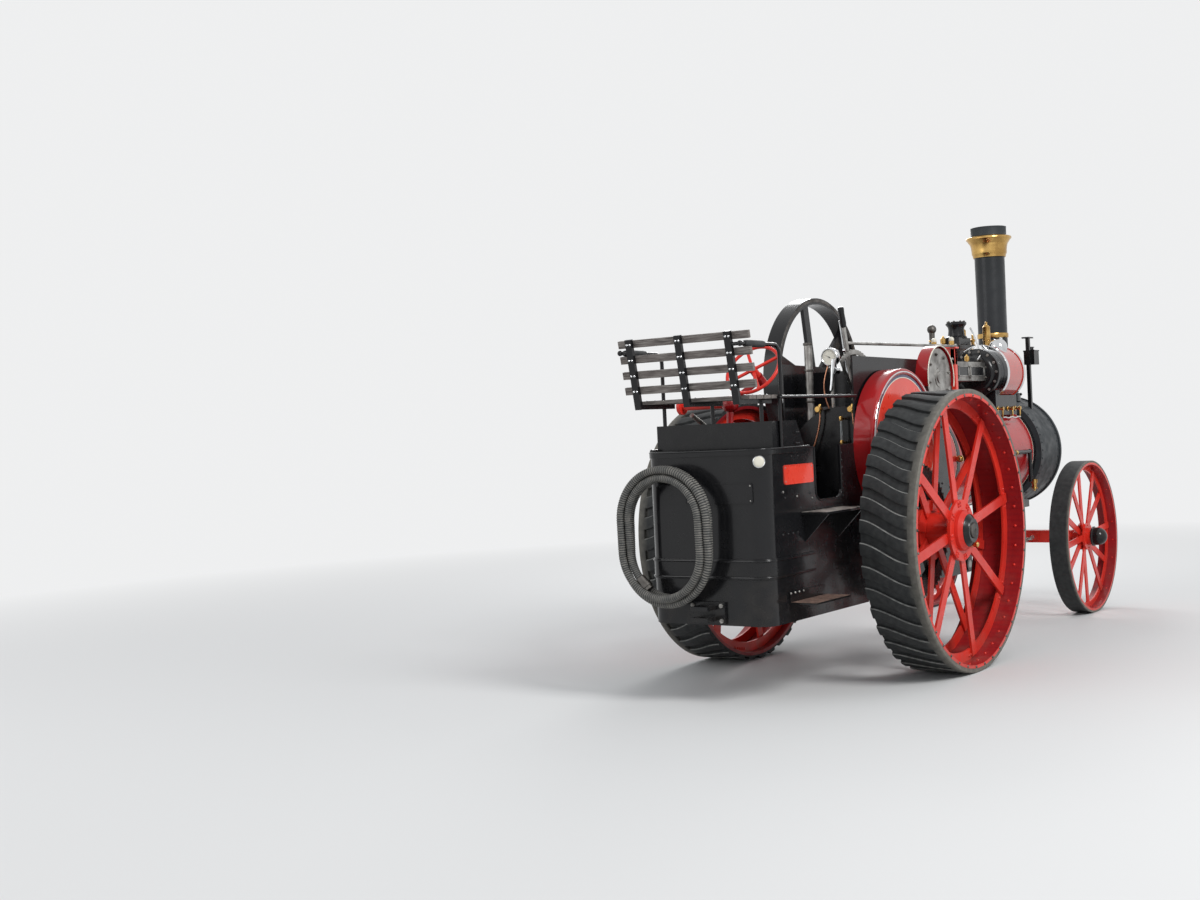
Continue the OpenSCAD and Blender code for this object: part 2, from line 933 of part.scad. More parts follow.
boiler_barrel();
firebox();
smokebox();
chimney();
chimney_cap();
hornplates();
cylinder_block();
cylinder_lagging();
valve_gear_top();
slide_bars();
connecting_rod();
crank_guard();
gear_cover();
tender();
coal_plates();
drawbar_hitch();
seat_slats();
seat_frame();
steps();
side_rail();
steering_column();
levers();
gauge_fittings();
governor();
perch_bracket();
lamp_bracket();
feed_pipe();
ash_pan();
rear_axle();
hose_hook();
hose_coil();
rear_wheel_right();
rear_tyre_right();
final_gear();
rear_wheel_left();
rear_tyre_left();
front_axle();
front_wheel_right();
front_tyre_right();
front_wheel_left();
front_tyre_left();
crankshaft();
flywheel();
third_shaft();
steering_wheel();
cross_shaft();
worm_shaft();
shaft_brackets();
chain_drum();
chain_left();
chain_right();
smokebox_door();
fire_door();
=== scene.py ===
"""The looks of a steam traction engine: camera, light, materials and the fine pieces.

Lengths are metres, but the profiles of turned forms are millimetres.
at(x, y, z) takes x from the rear axle, as the part's own source does.
"""

import json
import math

import bmesh
import bpy
from mathutils import Matrix, Vector


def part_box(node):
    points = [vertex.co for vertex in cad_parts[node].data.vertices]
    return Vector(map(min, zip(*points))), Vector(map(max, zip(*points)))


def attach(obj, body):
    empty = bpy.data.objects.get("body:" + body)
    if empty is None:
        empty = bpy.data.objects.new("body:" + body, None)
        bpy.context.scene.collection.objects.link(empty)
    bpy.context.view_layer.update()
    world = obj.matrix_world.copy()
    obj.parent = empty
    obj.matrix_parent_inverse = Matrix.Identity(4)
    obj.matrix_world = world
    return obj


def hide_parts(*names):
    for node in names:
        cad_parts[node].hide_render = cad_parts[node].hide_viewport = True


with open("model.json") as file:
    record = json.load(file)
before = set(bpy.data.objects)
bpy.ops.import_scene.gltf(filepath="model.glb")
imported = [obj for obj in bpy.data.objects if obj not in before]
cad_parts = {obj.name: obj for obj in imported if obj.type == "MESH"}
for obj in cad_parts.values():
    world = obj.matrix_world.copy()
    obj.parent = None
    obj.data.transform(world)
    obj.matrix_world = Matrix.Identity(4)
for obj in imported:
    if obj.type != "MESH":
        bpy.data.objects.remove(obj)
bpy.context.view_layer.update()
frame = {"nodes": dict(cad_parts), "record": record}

axle_low, axle_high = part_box("rear_axle")
AXLE_X = (axle_low[0] + axle_high[0]) / 2

FORWARD, LEFT, UP = Vector((1, 0, 0)), Vector((0, 1, 0)), Vector((0, 0, 1))
BOTH = (("right", -1), ("left", 1))

REAR_Z, REAR_R, REAR_EDGE = 0.915, 0.915, 1.007
FRONT_X, FRONT_Z, FRONT_EDGE = 3.036, 0.621, 0.773


def at(x, y, z):
    """A point given from the rear axle, in the frame."""
    return Vector((x + AXLE_X, y, z))


def arc(u, v, across, up, first, last, count):
    """Points along a round or oval arc about (u, v), between two angles in degrees."""
    angles = (math.radians(first + (last - first) * k / (count - 1)) for k in range(count))
    return [(u + across * math.cos(a), v + up * math.sin(a)) for a in angles]


# Camera

CAMERA_AT = (-9.1345, -4.7846, 1.6573)
CAMERA_YAW = math.radians(36.472)
CAMERA_PITCH = math.radians(-0.6553)
CAMERA_ROLL = math.radians(-2.7055)
CAMERA_LENS_MM = 44.58


def make_camera():
    flat = math.cos(CAMERA_PITCH)
    forward = Vector((math.cos(CAMERA_YAW) * flat, math.sin(CAMERA_YAW) * flat, math.sin(CAMERA_PITCH)))
    level = Vector((math.sin(CAMERA_YAW), -math.cos(CAMERA_YAW), 0))
    above = level.cross(forward)
    right = level * math.cos(CAMERA_ROLL) + above * math.sin(CAMERA_ROLL)
    up = above * math.cos(CAMERA_ROLL) - level * math.sin(CAMERA_ROLL)
    data = bpy.data.cameras.new("camera")
    data.sensor_fit = "HORIZONTAL"
    data.sensor_width = 36
    data.lens = CAMERA_LENS_MM
    camera = bpy.data.objects.new("camera", data)
    turn = Matrix((right, up, -forward)).transposed().to_4x4()
    camera.matrix_world = Matrix.Translation(at(*CAMERA_AT)) @ turn
    bpy.context.scene.collection.objects.link(camera)
    bpy.context.scene.camera = camera


make_camera()

# Materials

ROAD_DUST = (0.16, 0.13, 0.1)


def new_material(name):
    """A material, its node tree and its Principled shader."""
    material = bpy.data.materials.new(name)
    material.use_nodes = True
    tree = material.node_tree
    return material, tree, tree.nodes["Principled BSDF"]


def add(tree, kind, **values):
    """A node of a kind, with its properties set by name."""
    node = tree.nodes.new(kind)
    for key, value in values.items():
        setattr(node, key, value)
    return node


def fill(tree, socket, value):
    """Links a socket to another one, or sets it to a number or a colour."""
    if isinstance(value, tuple):
        socket.default_value = (*value, 1)
    elif isinstance(value, (int, float)):
        socket.default_value = value
    else:
        tree.links.new(value, socket)


def maths(tree, operation, *values, **more):
    node = add(tree, "ShaderNodeMath", operation=operation, **more)
    for socket, value in zip(node.inputs, values):
        fill(tree, socket, value)
    return node.outputs[0]


def place_axes(tree):
    """X, Y and Z of the object's own space."""
    place = add(tree, "ShaderNodeTexCoord")
    split = add(tree, "ShaderNodeSeparateXYZ")
    tree.links.new(place.outputs["Object"], split.inputs[0])
    return split.outputs


def noise(tree, scale, detail=4.0, stretch=(1, 1, 1)):
    """Noise in object space, stretched along the axes."""
    place = add(tree, "ShaderNodeTexCoord")
    mapping = add(tree, "ShaderNodeMapping")
    mapping.inputs["Scale"].default_value = stretch
    texture = add(tree, "ShaderNodeTexNoise")
    texture.inputs["Scale"].default_value = scale
    texture.inputs["Detail"].default_value = detail
    tree.links.new(place.outputs["Object"], mapping.inputs["Vector"])
    tree.links.new(mapping.outputs["Vector"], texture.inputs["Vector"])
    return texture.outputs["Fac"]


def ramp(tree, value, *stops):
    """A colour ramp over a value; stops are (position, colour)."""
    node = add(tree, "ShaderNodeValToRGB")
    elements = node.color_ramp.elements
    while len(elements) < len(stops):
        elements.new(0.5)
    for element, (position, colour) in zip(elements, stops):
        element.position = position
        element.color = (*colour, 1)
    tree.links.new(value, node.inputs["Fac"])
    return node.outputs["Color"]


def span(tree, value, low, high, to_low=0.0, to_high=1.0):
    """Maps a value from one range to another, clamped."""
    node = add(tree, "ShaderNodeMapRange")
    for name, number in (("From Min", low), ("From Max", high), ("To Min", to_low), ("To Max", to_high)):
        node.inputs[name].default_value = number
    tree.links.new(value, node.inputs["Value"])
    return node.outputs["Result"]


def mix(tree, factor, first, second):
    """Mixes two colours, each a socket or a tuple."""
    node = add(tree, "ShaderNodeMix", data_type="RGBA")
    for socket, value in ((node.inputs["Factor"], factor), (node.inputs[6], first), (node.inputs[7], second)):
        fill(tree, socket, value)
    return node.outputs[2]


def low_down(tree, low, high):
    """1 at low and 0 at high, by height above the ground."""
    return span(tree, place_axes(tree)["Z"], low, high, 1.0, 0.0)


def bump(tree, shader, value, strength, distance):
    node = add(tree, "ShaderNodeBump")
    node.inputs["Strength"].default_value = strength
    node.inputs["Distance"].default_value = distance
    tree.links.new(value, node.inputs["Height"])
    tree.links.new(node.outputs["Normal"], shader.inputs["Normal"])


def shade(tree, shader, **values):
    """Sets inputs of a shader; an underscore in a name stands for a space."""
    for name, value in values.items():
        fill(tree, shader.inputs[name.replace("_", " ")], value)


def dusted(tree, base, amount, spots, low, high):
    """A colour with road dust in spots, more of it near the ground."""
    grime = maths(tree, "MULTIPLY", span(tree, noise(tree, 9, 8), *spots), low_down(tree, low, high))
    return mix(tree, maths(tree, "MULTIPLY", grime, amount), base, ROAD_DUST)


def paint(name, colour, dark, rough=0.3, coat=0.5, dust=0.3, gloss=0.5):
    """Coach paint: faint uneven colour, a clear coat, and road dust low down."""
    material, tree, shader = new_material(name)
    base = ramp(tree, noise(tree, 2.2, 5), (0.35, dark), (0.65, colour))
    shade(
        tree, shader,
        Base_Color=dusted(tree, base, dust, (0.42, 0.7), 0.05, 0.9),
        Roughness=span(tree, noise(tree, 14, 6), 0.3, 0.7, rough * 0.75, rough * 1.4),
        Specular_IOR_Level=gloss, Coat_Weight=coat, Coat_Roughness=0.1,
    )
    bump(tree, shader, noise(tree, 60, 2), 0.012, 0.002)
    return material


def metal(name, colour, dark, rough=0.3, metallic=1.0, scale=12.0):
    """Bare metal with uneven polish and oily marks."""
    material, tree, shader = new_material(name)
    spots = noise(tree, scale, 8)
    shade(
        tree, shader,
        Base_Color=ramp(tree, spots, (0.35, dark), (0.62, colour)),
        Roughness=span(tree, noise(tree, scale * 3, 5), 0.3, 0.7, rough * 0.7, rough * 1.5),
        Metallic=metallic,
    )
    bump(tree, shader, spots, 0.06, 0.002)
    return material


def tyre_rubber(name, half_track, edge_from):
    """Dark rubber, dusty brown towards its outer edge and in its pores."""
    material, tree, shader = new_material(name)
    side = maths(tree, "ABSOLUTE", place_axes(tree)["Y"])
    edge = span(tree, side, edge_from, half_track)
    speckle = noise(tree, 28, 10)
    base = ramp(tree, speckle, (0.3, (0.007, 0.008, 0.009)), (0.7, (0.026, 0.028, 0.028)))
    dusty = mix(tree, span(tree, speckle, 0.3, 0.75, 0.35, 1.0), (0.07, 0.066, 0.058), (0.2, 0.185, 0.155))
    worn = mix(tree, maths(tree, "MULTIPLY", edge, 0.85), base, dusty)
    shade(tree, shader, Base_Color=worn, Roughness=0.72)
    bump(tree, shader, noise(tree, 160, 4), 0.2, 0.002)
    return material


def weathered_wood(name):
    material, tree, shader = new_material(name)
    grain = noise(tree, 30, 9, (6, 0.35, 6))
    bands = ((0.3, (0.05, 0.043, 0.038)), (0.5, (0.15, 0.13, 0.12)), (0.7, (0.27, 0.25, 0.23)))
    shade(tree, shader, Base_Color=ramp(tree, grain, *bands), Roughness=0.75)
    bump(tree, shader, grain, 0.35, 0.002)
    return material


def wheel_paint(name, edge, rim_from, axle_x, axle_z):
    """Wheel red, vermilion on spokes and webs, with a darker crimson on the inside of the rim as painted
    shade.
    """
    material, tree, shader = new_material(name)
    axes = place_axes(tree)
    flat = add(tree, "ShaderNodeCombineXYZ")
    middle = at(axle_x, 0, axle_z)
    for axis, offset in (("X", middle.x), ("Z", middle.z)):
        tree.links.new(maths(tree, "SUBTRACT", axes[axis], offset), flat.inputs[axis])
    way = add(tree, "ShaderNodeVectorMath", operation="LENGTH")
    tree.links.new(flat.outputs[0], way.inputs[0])
    side = maths(tree, "ABSOLUTE", axes["Y"])
    rim = span(tree, way.outputs["Value"], rim_from - 0.001, rim_from + 0.001)
    inside = span(tree, side, edge - 0.0012, edge - 0.0006, 1.0, 0.0)
    uneven = noise(tree, 3.0, 5)
    bright = ramp(tree, uneven, (0.35, (0.55, 0.022, 0.013)), (0.65, (0.68, 0.032, 0.018)))
    rim_shade = ramp(tree, uneven, (0.35, (0.2, 0.008, 0.012)), (0.65, (0.28, 0.01, 0.014)))
    # The rim's faces other than its outer face take the darker red: painted shade.
    base = mix(tree, maths(tree, "MULTIPLY", rim, inside), bright, rim_shade)
    shade(
        tree, shader,
        Base_Color=dusted(tree, base, 0.3, (0.45, 0.72), 0.02, 0.9),
        Roughness=span(tree, noise(tree, 14, 6), 0.3, 0.7, 0.26, 0.45),
        Specular_IOR_Level=0.3, Coat_Weight=0.15,
    )
    bump(tree, shader, noise(tree, 60, 2), 0.015, 0.002)
    return material


def clear_glass(name):
    """Glass of a lens or tube, seen against what is behind it, with a faint film of soot."""
    material, tree, shader = new_material(name)
    film = noise(tree, 40, 6)
    shade(
        tree, shader,
        Base_Color=ramp(tree, film, (0.4, (0.7, 0.76, 0.76)), (0.7, (0.86, 0.9, 0.9))),
        Roughness=span(tree, film, 0.3, 0.7, 0.03, 0.16), Transmission_Weight=0.55,
    )
    return material


def rubber_hose(name):
    material, tree, shader = new_material(name)
    base = ramp(tree, noise(tree, 22, 8), (0.35, (0.007, 0.008, 0.009)), (0.7, (0.03, 0.031, 0.032)))
    shade(tree, shader, Base_Color=base, Roughness=0.62)
    bump(tree, shader, noise(tree, 120, 4), 0.15, 0.001)
    return material


def finish(name, slot, make, *values, **more):
    """A material and the record's slot that it stands for."""
    return make(name, *values, **more), slot


RED = finish("red_paint", "red_paint", paint, (0.4, 0.012, 0.014), (0.29, 0.008, 0.01),
             rough=0.2, coat=0.4, gloss=0.25)
WHEEL_RED = finish("wheel_red", "wheel_red", paint, (0.66, 0.03, 0.018), (0.55, 0.022, 0.014),
                   rough=0.35, coat=0.12, gloss=0.25)
BLACK = finish("black_paint", "black_paint", paint, (0.009, 0.009, 0.01), (0.005, 0.005, 0.006),
               rough=0.22, coat=0.22, dust=0.16, gloss=0.25)
SMOKE_BLACK = finish("smokebox_black", "smokebox_black", paint, (0.034, 0.039, 0.043),
                     (0.022, 0.026, 0.029), rough=0.5, coat=0.05, gloss=0.3)
STEEL = finish("steel", "steel", metal, (0.42, 0.41, 0.39), (0.2, 0.19, 0.18), rough=0.38)
BRASS = finish("brass", "brass", metal, (0.66, 0.42, 0.14), (0.42, 0.25, 0.08), rough=0.22)
RUBBER = finish("rubber", "rubber", tyre_rubber, REAR_EDGE, 0.93)
HOSE = finish("hose", "hose", rubber_hose)
WOOD = finish("wood", "wood", weathered_wood)
CHROME = finish("chrome", "steel", metal, (0.75, 0.76, 0.77), (0.6, 0.61, 0.62), rough=0.08)
BRIGHT_RED = finish("bright_red", "wheel_red", paint, (0.75, 0.05, 0.025), (0.66, 0.04, 0.02))
FRONT_RUBBER = finish("front_rubber", "rubber", tyre_rubber, FRONT_EDGE, 0.755)
COPPER_RED = finish("copper_red", "red_paint", paint, (0.52, 0.04, 0.025), (0.4, 0.025, 0.016),
                    rough=0.14, coat=0.8, dust=0.0)
REAR_WHEEL = finish("rear_wheel", "wheel_red", wheel_paint, REAR_EDGE, 0.864, 0, REAR_Z)
FRONT_WHEEL = finish("front_wheel", "wheel_red", wheel_paint, FRONT_EDGE, 0.588, FRONT_X, FRONT_Z)
# Lighter grey on the leading edge of each strake: partly dust, partly a painted highlight on the edge that
# faces the light.
STRAKE_DUST_AND_HIGHLIGHT = finish("strake_dust_and_highlight", "rubber", metal, (0.2, 0.2, 0.19), (0.1, 0.1, 0.096),
                      rough=0.8, metallic=0.0, scale=30)
# Lighter tan grey on the hose's rib crests: painted highlight.
HOSE_CREST_HIGHLIGHT = finish("hose_rib_highlight", "hose", metal, (0.2, 0.19, 0.17), (0.1, 0.1, 0.092),
                    rough=0.6, metallic=0.0, scale=24)
CHIMNEY_BLACK = finish("chimney_black", "black_paint", paint, (0.018, 0.02, 0.023),
                       (0.011, 0.013, 0.015), rough=0.35, coat=0.15, gloss=0.3)
NAVY = finish("navy", "black_paint", paint, (0.012, 0.014, 0.09), (0.01, 0.012, 0.07))
COPPER = finish("copper", "brass", metal, (0.83, 0.42, 0.26), (0.55, 0.25, 0.15), rough=0.25)
OILY = finish("oily_steel", "steel", metal, (0.16, 0.15, 0.14), (0.06, 0.055, 0.05), rough=0.4)
WORN_PLATE = finish("worn_plate", "steel", metal, (0.4, 0.37, 0.34), (0.13, 0.11, 0.1),
                    rough=0.5, metallic=0.6, scale=20)
RUST = finish("rust", "steel", metal, (0.2, 0.125, 0.095), (0.09, 0.055, 0.045),
              rough=0.7, metallic=0.15, scale=26)
GLASS = finish("gauge_glass", "steel", clear_glass)
CREAM = finish("cream", "brass", paint, (0.75, 0.72, 0.62), (0.68, 0.65, 0.55), rough=0.4, coat=0.2)

BY_SLOT = {slot: (material, slot) for material, slot in
           (RED, WHEEL_RED, BLACK, SMOKE_BLACK, STEEL, BRASS, RUBBER, HOSE, WOOD)}
BY_NODE = {
    "front_tyre_right": FRONT_RUBBER, "front_tyre_left": FRONT_RUBBER,
    "rear_wheel_right": REAR_WHEEL, "rear_wheel_left": REAR_WHEEL,
    "front_wheel_right": FRONT_WHEEL, "front_wheel_left": FRONT_WHEEL,
    "governor": OILY, "chimney": CHIMNEY_BLACK, "cylinder_lagging": COPPER_RED,
}


def dress_nodes():
    slots = {s["node"]: s["material_slot"] for s in frame["record"]["subparts"]}
    for name, node in frame["nodes"].items():
        material, _ = BY_NODE.get(name, BY_SLOT[slots[name]])
        if not node.data.materials:
            node.data.materials.append(material)
        for i in range(len(node.data.materials)):
            node.data.materials[i] = material


dress_nodes()

# Making pieces


def make_piece(name, bm, look, smooth=35, body="engine"):
    """Turns a bmesh into a piece that rides on a body; look is a finish."""
    material, slot = look
    mesh = bpy.data.meshes.new(name)
    bmesh.ops.recalc_face_normals(bm, faces=bm.faces)
    bm.to_mesh(mesh)
    bm.free()
    piece = bpy.data.objects.new(name, mesh)
    bpy.context.scene.collection.objects.link(piece)
    mesh.materials.append(material)
    if smooth:
        mesh.shade_smooth()
        mesh.set_sharp_from_angle(angle=math.radians(smooth))
    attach(piece, body)
    return piece


def skin(bm, rows, closed=True):
    """Faces between rows of points; a closed row joins its last point to its first."""
    for first, second in zip(rows, rows[1:]):
        count = len(first)
        for k in range(count if closed else count - 1):
            m = (k + 1) % count
            bm.faces.new((first[k], first[m], second[m], second[k]))


def tube(bm, points, radii, sides=10, closed_ends=True):
    """Sweeps a circle along points; radii is one radius, or one for each point."""
    if isinstance(radii, float):
        radii = [radii] * len(points)
    rings = []
    normal = None
    for i, point in enumerate(points):
        along = (points[min(i + 1, len(points) - 1)] - points[max(i - 1, 0)]).normalized()
        if normal is None:
            normal = along.orthogonal().normalized()
        normal = (normal - along * normal.dot(along)).normalized()
        side = along.cross(normal)
        angles = (2 * math.pi * k / sides for k in range(sides))
        rings.append([
            bm.verts.new(point + (normal * math.cos(a) + side * math.sin(a)) * radii[i]) for a in angles
        ])
    skin(bm, rings)
    if closed_ends:
        bm.faces.new(rings[0][::-1])
        bm.faces.new(rings[-1])


def square_to(axis):
    """Two directions square to an axis."""
    side = axis.orthogonal().normalized()
    return side, axis.cross(side)


def turned(bm, place, axis, profile, sides=16):
    """A turned form: profile is (way along the axis, radius) in millimetres."""
    axis = Vector(axis).normalized()
    side, up = square_to(axis)
    rows = []
    for way, radius in profile:
        middle = place + axis * (way / 1000)
        if radius == 0:
            rows.append([bm.verts.new(middle)])
            continue
        angles = (2 * math.pi * k / sides for k in range(sides))
        rows.append([
            bm.verts.new(middle + (side * math.cos(a) + up * math.sin(a)) * (radius / 1000)) for a in angles
        ])
    for first, second in zip(rows, rows[1:]):
        if len(first) == len(second):
            if len(first) > 1:
                skin(bm, (first, second))
            continue
        for k in range(sides):
            m = (k + 1) % sides
            if len(first) == 1:
                bm.faces.new((first[0], second[k], second[m]))
            else:
                bm.faces.new((first[k], first[m], second[0]))


def lathe(name, look, *forms, sides=16, smooth=35, body="engine"):
    """One piece of turned forms, each (place, axis, profile) and maybe its own number of sides."""
    bm = bmesh.new()
    for place, axis, profile, *own in forms:
        turned(bm, place, axis, profile, *(own or (sides,)))
    return make_piece(name, bm, look, smooth, body)


def pipes(name, look, *runs, smooth=40):
    """One piece of tubes, each (points, radii, sides)."""
    bm = bmesh.new()
    for run in runs:
        tube(bm, *run)
    return make_piece(name, bm, look, smooth)


def slab(bm, low, high, chamfer=0.0015):
    """A box with chamfered edges, between two corners."""
    made = bmesh.ops.create_cube(bm, size=1.0)["verts"]
    for vert in made:
        vert.co = Vector(low[i] if vert.co[i] < 0 else high[i] for i in range(3))
    edges = list({e for v in made for e in v.link_edges})
    bmesh.ops.bevel(bm, geom=edges, offset=chamfer, segments=1, affect="EDGES")


def prism(bm, points, y0, y1):
    """A flat form of even thickness; points are (x, z) from the rear axle."""
    rows = [[bm.verts.new(at(x, y, z)) for x, z in points] for y in (y0, y1)]
    skin(bm, rows)
    for row in rows:
        bm.faces.new(row)


def rivet(r):
    return [(0, r), (0.4 * r, 0.88 * r), (0.7 * r, 0.5 * r), (0.8 * r, 0)]


def hex_bolt(r):
    return [(0, r), (0.75 * r, r), (0.75 * r, 0.45 * r), (1.15 * r, 0.45 * r), (1.15 * r, 0)]


def rivets(name, places, look, radius, body="engine"):
    """One piece of many rivets; places are (point, direction), the radius is millimetres."""
    forms = ((point, axis, rivet(radius)) for point, axis in places)
    lathe(name, look, *forms, sides=8, smooth=40, body=body)


def bolts(name, places, look, radius, body="engine"):
    """One piece of many hexagonal bolts, as rivets() makes its rivets."""
    forms = ((point, axis, hex_bolt(radius)) for point, axis in places)
    lathe(name, look, *forms, sides=6, smooth=0, body=body)


def around(middle, axis, radius, count, first=0.0):
    """Points on a circle, each with its direction out from the middle."""
    side, up = square_to(axis)
    for k in range(count):
        a = math.radians(first) + 2 * math.pi * k / count
        out = side * math.cos(a) + up * math.sin(a)
        yield middle + out * radius, out


def bolt_circle(middle, axis, radius, count, first=0.0, facing=None):
    """Places of bolts on a circle that all point the same way."""
    return [(p, facing or axis) for p, _ in around(middle, axis, radius, count, first)]


def wheel_point(x, z, radius, degrees, y):
    """A point at an angle round an axle; 0 is forward and 90 is up."""
    a = math.radians(degrees)
    return at(x + radius * math.cos(a), y, z + radius * math.sin(a))


# The hose on the back of the tender

HOSE_D = 0.05
HOSE_TURNS = 3.4
HOSE_MIDDLE = (-1.75, 0.225, 1.019)
HOSE_R = 0.28
HOSE_HALF_STRAIGHT = 0.095
HOSE_RIB = 0.014
HOSE_RIB_DEPTH = 0.003
HOSE_SIDES = 14
RIB_STEPS = (0.0, -0.5, -1.0, -0.5)
CREST_HIGHLIGHT_STEPS = (0, 3)


def stadium_point(share, radius):
    """A point on an upright oval with round ends, with share 0 at its top."""
    half = math.pi * radius
    side = 2 * HOSE_HALF_STRAIGHT
    way = (share % 1.0) * (2 * half + 2 * side)
    if half / 2 <= way < half / 2 + side:
        return radius, HOSE_HALF_STRAIGHT - (way - half / 2)
    if 1.5 * half + side <= way < 1.5 * half + 2 * side:
        return -radius, way - 1.5 * half - side - HOSE_HALF_STRAIGHT
    middle = HOSE_HALF_STRAIGHT
    if way >= 1.5 * half + 2 * side:
        way -= 2 * side
    elif way >= half / 2:
        way, middle = way - side, -HOSE_HALF_STRAIGHT
    return math.sin(way / radius) * radius, middle + math.cos(way / radius) * radius


def hose_route(step):
    """The middle of the hose: its turns go round each other like strands of a rope."""
    mean = 2 * math.pi * HOSE_R + 4 * HOSE_HALF_STRAIGHT
    count = int(HOSE_TURNS * mean / step)
    points = []
    for i in range(count + 1):
        turns = HOSE_TURNS * i / count
        strand = math.radians(-135) + turns * math.pi / 2
        out = math.cos(strand) * HOSE_D * math.sqrt(0.5)
        back = -math.sin(strand) * HOSE_D * math.sqrt(0.5)
        across, up = stadium_point(turns, HOSE_R + out)
        points.append(at(HOSE_MIDDLE[0] + back, HOSE_MIDDLE[1] + across, HOSE_MIDDLE[2] + up))
    return points


def make_hose():
    fine = hose_route(HOSE_RIB / 4)
    radii = [HOSE_D / 2 + HOSE_RIB_DEPTH * RIB_STEPS[i % 4] for i in range(len(fine))]
    bm = bmesh.new()
    tube(bm, fine, radii, HOSE_SIDES)
    bm.faces.ensure_lookup_table()
    for i in range(len(fine) - 1):
        for k in range(HOSE_SIDES):
            # Faces next to each rib's crest take the lighter second material, a painted highlight.
            bm.faces[i * HOSE_SIDES + k].material_index = int(i % 4 in CREST_HIGHLIGHT_STEPS)
    hose = make_piece("suction_hose", bm, HOSE, 60)
    hose.data.materials.append(HOSE_CREST_HIGHLIGHT[0])
    route = hose_route(0.06)
    length = sum((b - a).length for a, b in zip(fine, fine[1:]))
    end = fine[-1]
    along = (fine[-1] - fine[-6]).normalized()
    stops = ((-0.02, 0.027), (-0.018, 0.032), (0.03, 0.032), (0.031, 0.037), (0.055, 0.037),
             (0.056, 0.031), (0.075, 0.031))
    run = ([end + along * s for s, _ in stops], [r for _, r in stops], 24)
    fitting = pipes("hose_coupling", OILY, run, smooth=30)
    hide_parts("hose_coil")
    tuple(route[0])
    [tuple(p) for p in route]


make_hose()

# Tender

TENDER_Y = 0.42
TENDER_X = -1.64
TENDER_CORNER = 0.1
ROW_Z = 1.018
BELT_END = -1.088
DOOR_X0, DOOR_X1, DOOR_FOOT, DOOR_CORNER = -1.02, -0.69, 1.186, 0.06


def tender_path(grow, front, z):
    """Round the tender from its right front over its back to its left front."""
    r = TENDER_CORNER + grow
    y = TENDER_Y - TENDER_CORNER
    x = TENDER_X + TENDER_CORNER
    flat = [(front, -y - r), *arc(x, -y, r, r, 270, 180, 9), *arc(x, y, r, r, 180, 90, 9), (front, y + r)]
    return [at(a, b, z) for a, b in flat]


def even_steps(points, step):
    """Points at even steps along a path, each with the path's direction."""
    made = []
    left = step / 2
    for first, second in zip(points, points[1:]):
        along = second - first
        size = along.length
        while left < size:
            made.append((first + along * (left / size), along / size))
            left += step
        left -= size
    return made


def doorway_path(y, out):
    """The edge of a doorway, down one side, round its rounded foot and up the other."""
    x0, x1, r = DOOR_X0 - out, DOOR_X1 + out, DOOR_CORNER
    z = DOOR_FOOT - out + r
    front, back = arc(x1 - r, z, r, -r, 0, 90, 7), arc(x0 + r, z, r, r, 270, 180, 7)
    return [at(a, y, b) for a, b in [(x1, 1.51), *front, *back, (x0, 1.51)]]


def make_tender_trim():
    places, bright = [], []
    lines = ((ROW_Z, 0, -1.27, 0.0535), (0.855, 0.006, -1.1, 0.24), (0.778, 0.006, -1.1, 0.24))
    for z, grow, front, step in lines:
        for point, along in even_steps(tender_path(grow, front, z), step):
            places.append((point, (-UP).cross(along)))
    spots = [(-1.31, 1.463), (-1.235, 1.463), (-1.444, 1.253), (-1.41, 1.221), (-1.255, 1.233), (-1.1, 1.233)]
    spots += [(x, z) for x in (-1.236, -1.212) for z in (1.54, 1.607)]
    spots += [(x, 1.005) for x in (-1.45, -1.39, -1.33, -1.27)]
    spots += [(-1.045 + 0.045 * i, 1.13) for i in range(9)]
    spots += [(-0.665, 1.19 + 0.045 * i) for i in range(7)]
    for _, side in BOTH:
        places += [(at(x, side * TENDER_Y, z), side * LEFT) for x, z in spots]
        bright += [(at(x, side * 0.432, 0.653), side * LEFT) for x in (-1.412, -1.359, -1.31, -1.256)]
        for x, z in ((-1.43, 1.256), (-1.262, 1.222), (-1.075, 1.2)):
            bright.append((at(x, side * TENDER_Y, z), side * LEFT))
    rivets("tender_rivets", places, BLACK, 7.5)
    rivets("tender_bolts", bright, STEEL, 8)
    rows = ((1.517, 0.002, 0.008), (0.872, 0.004, 0.005), (0.758, 0.004, 0.005))
    runs = [(tender_path(grow, -1.09, z), r) for z, grow, r in rows]
    runs += [(doorway_path(side * 0.421, 0.005), 0.0055, 8) for _, side in BOTH]
    pipes("tender_beading", BLACK, *runs, smooth=50)


def make_doorway_corners():
    """Fillets that round the foot of each doorway."""
    bm = bmesh.new()
    top, bottom, r = DOOR_FOOT + DOOR_CORNER, DOOR_FOOT - 0.002, DOOR_CORNER
    for _, side in BOTH:
        for x, turn in ((DOOR_X0, 1), (DOOR_X1, -1)):
            hidden = x - turn * 0.002
            points = [(hidden, bottom), (hidden, top), *arc(x + turn * r, top, -turn * r, -r, 0, 90, 7)]
            prism(bm, points + [(x + turn * r, bottom)], side * 0.4085, side * 0.4205)
    make_piece("doorway_corners", bm, BLACK, 0)


def make_belts():
    """Flat bands round the tender, and the beads on the edges of the lower one."""
    bm = bmesh.new()
    skim = 0.001
    for z0, z1, grow in ((0.76, 0.87, 0.006), (1.485, 1.515, 0.008)):
        section = ((-skim, z0), (grow - skim, z0), (grow, z0 + skim),
                   (grow, z1 - skim), (grow - skim, z1), (-skim, z1))
        rows = [[bm.verts.new(p) for p in tender_path(g, BELT_END, z)] for g, z in section]
        skin(bm, rows, closed=False)
        for end in (0, -1):
            bm.faces.new([row[end] for row in rows])
    for z in (0.766, 0.864):
        tube(bm, tender_path(0.006, BELT_END, z), 0.0075, 8)
    make_piece("tender_belts", bm, BLACK, 40)


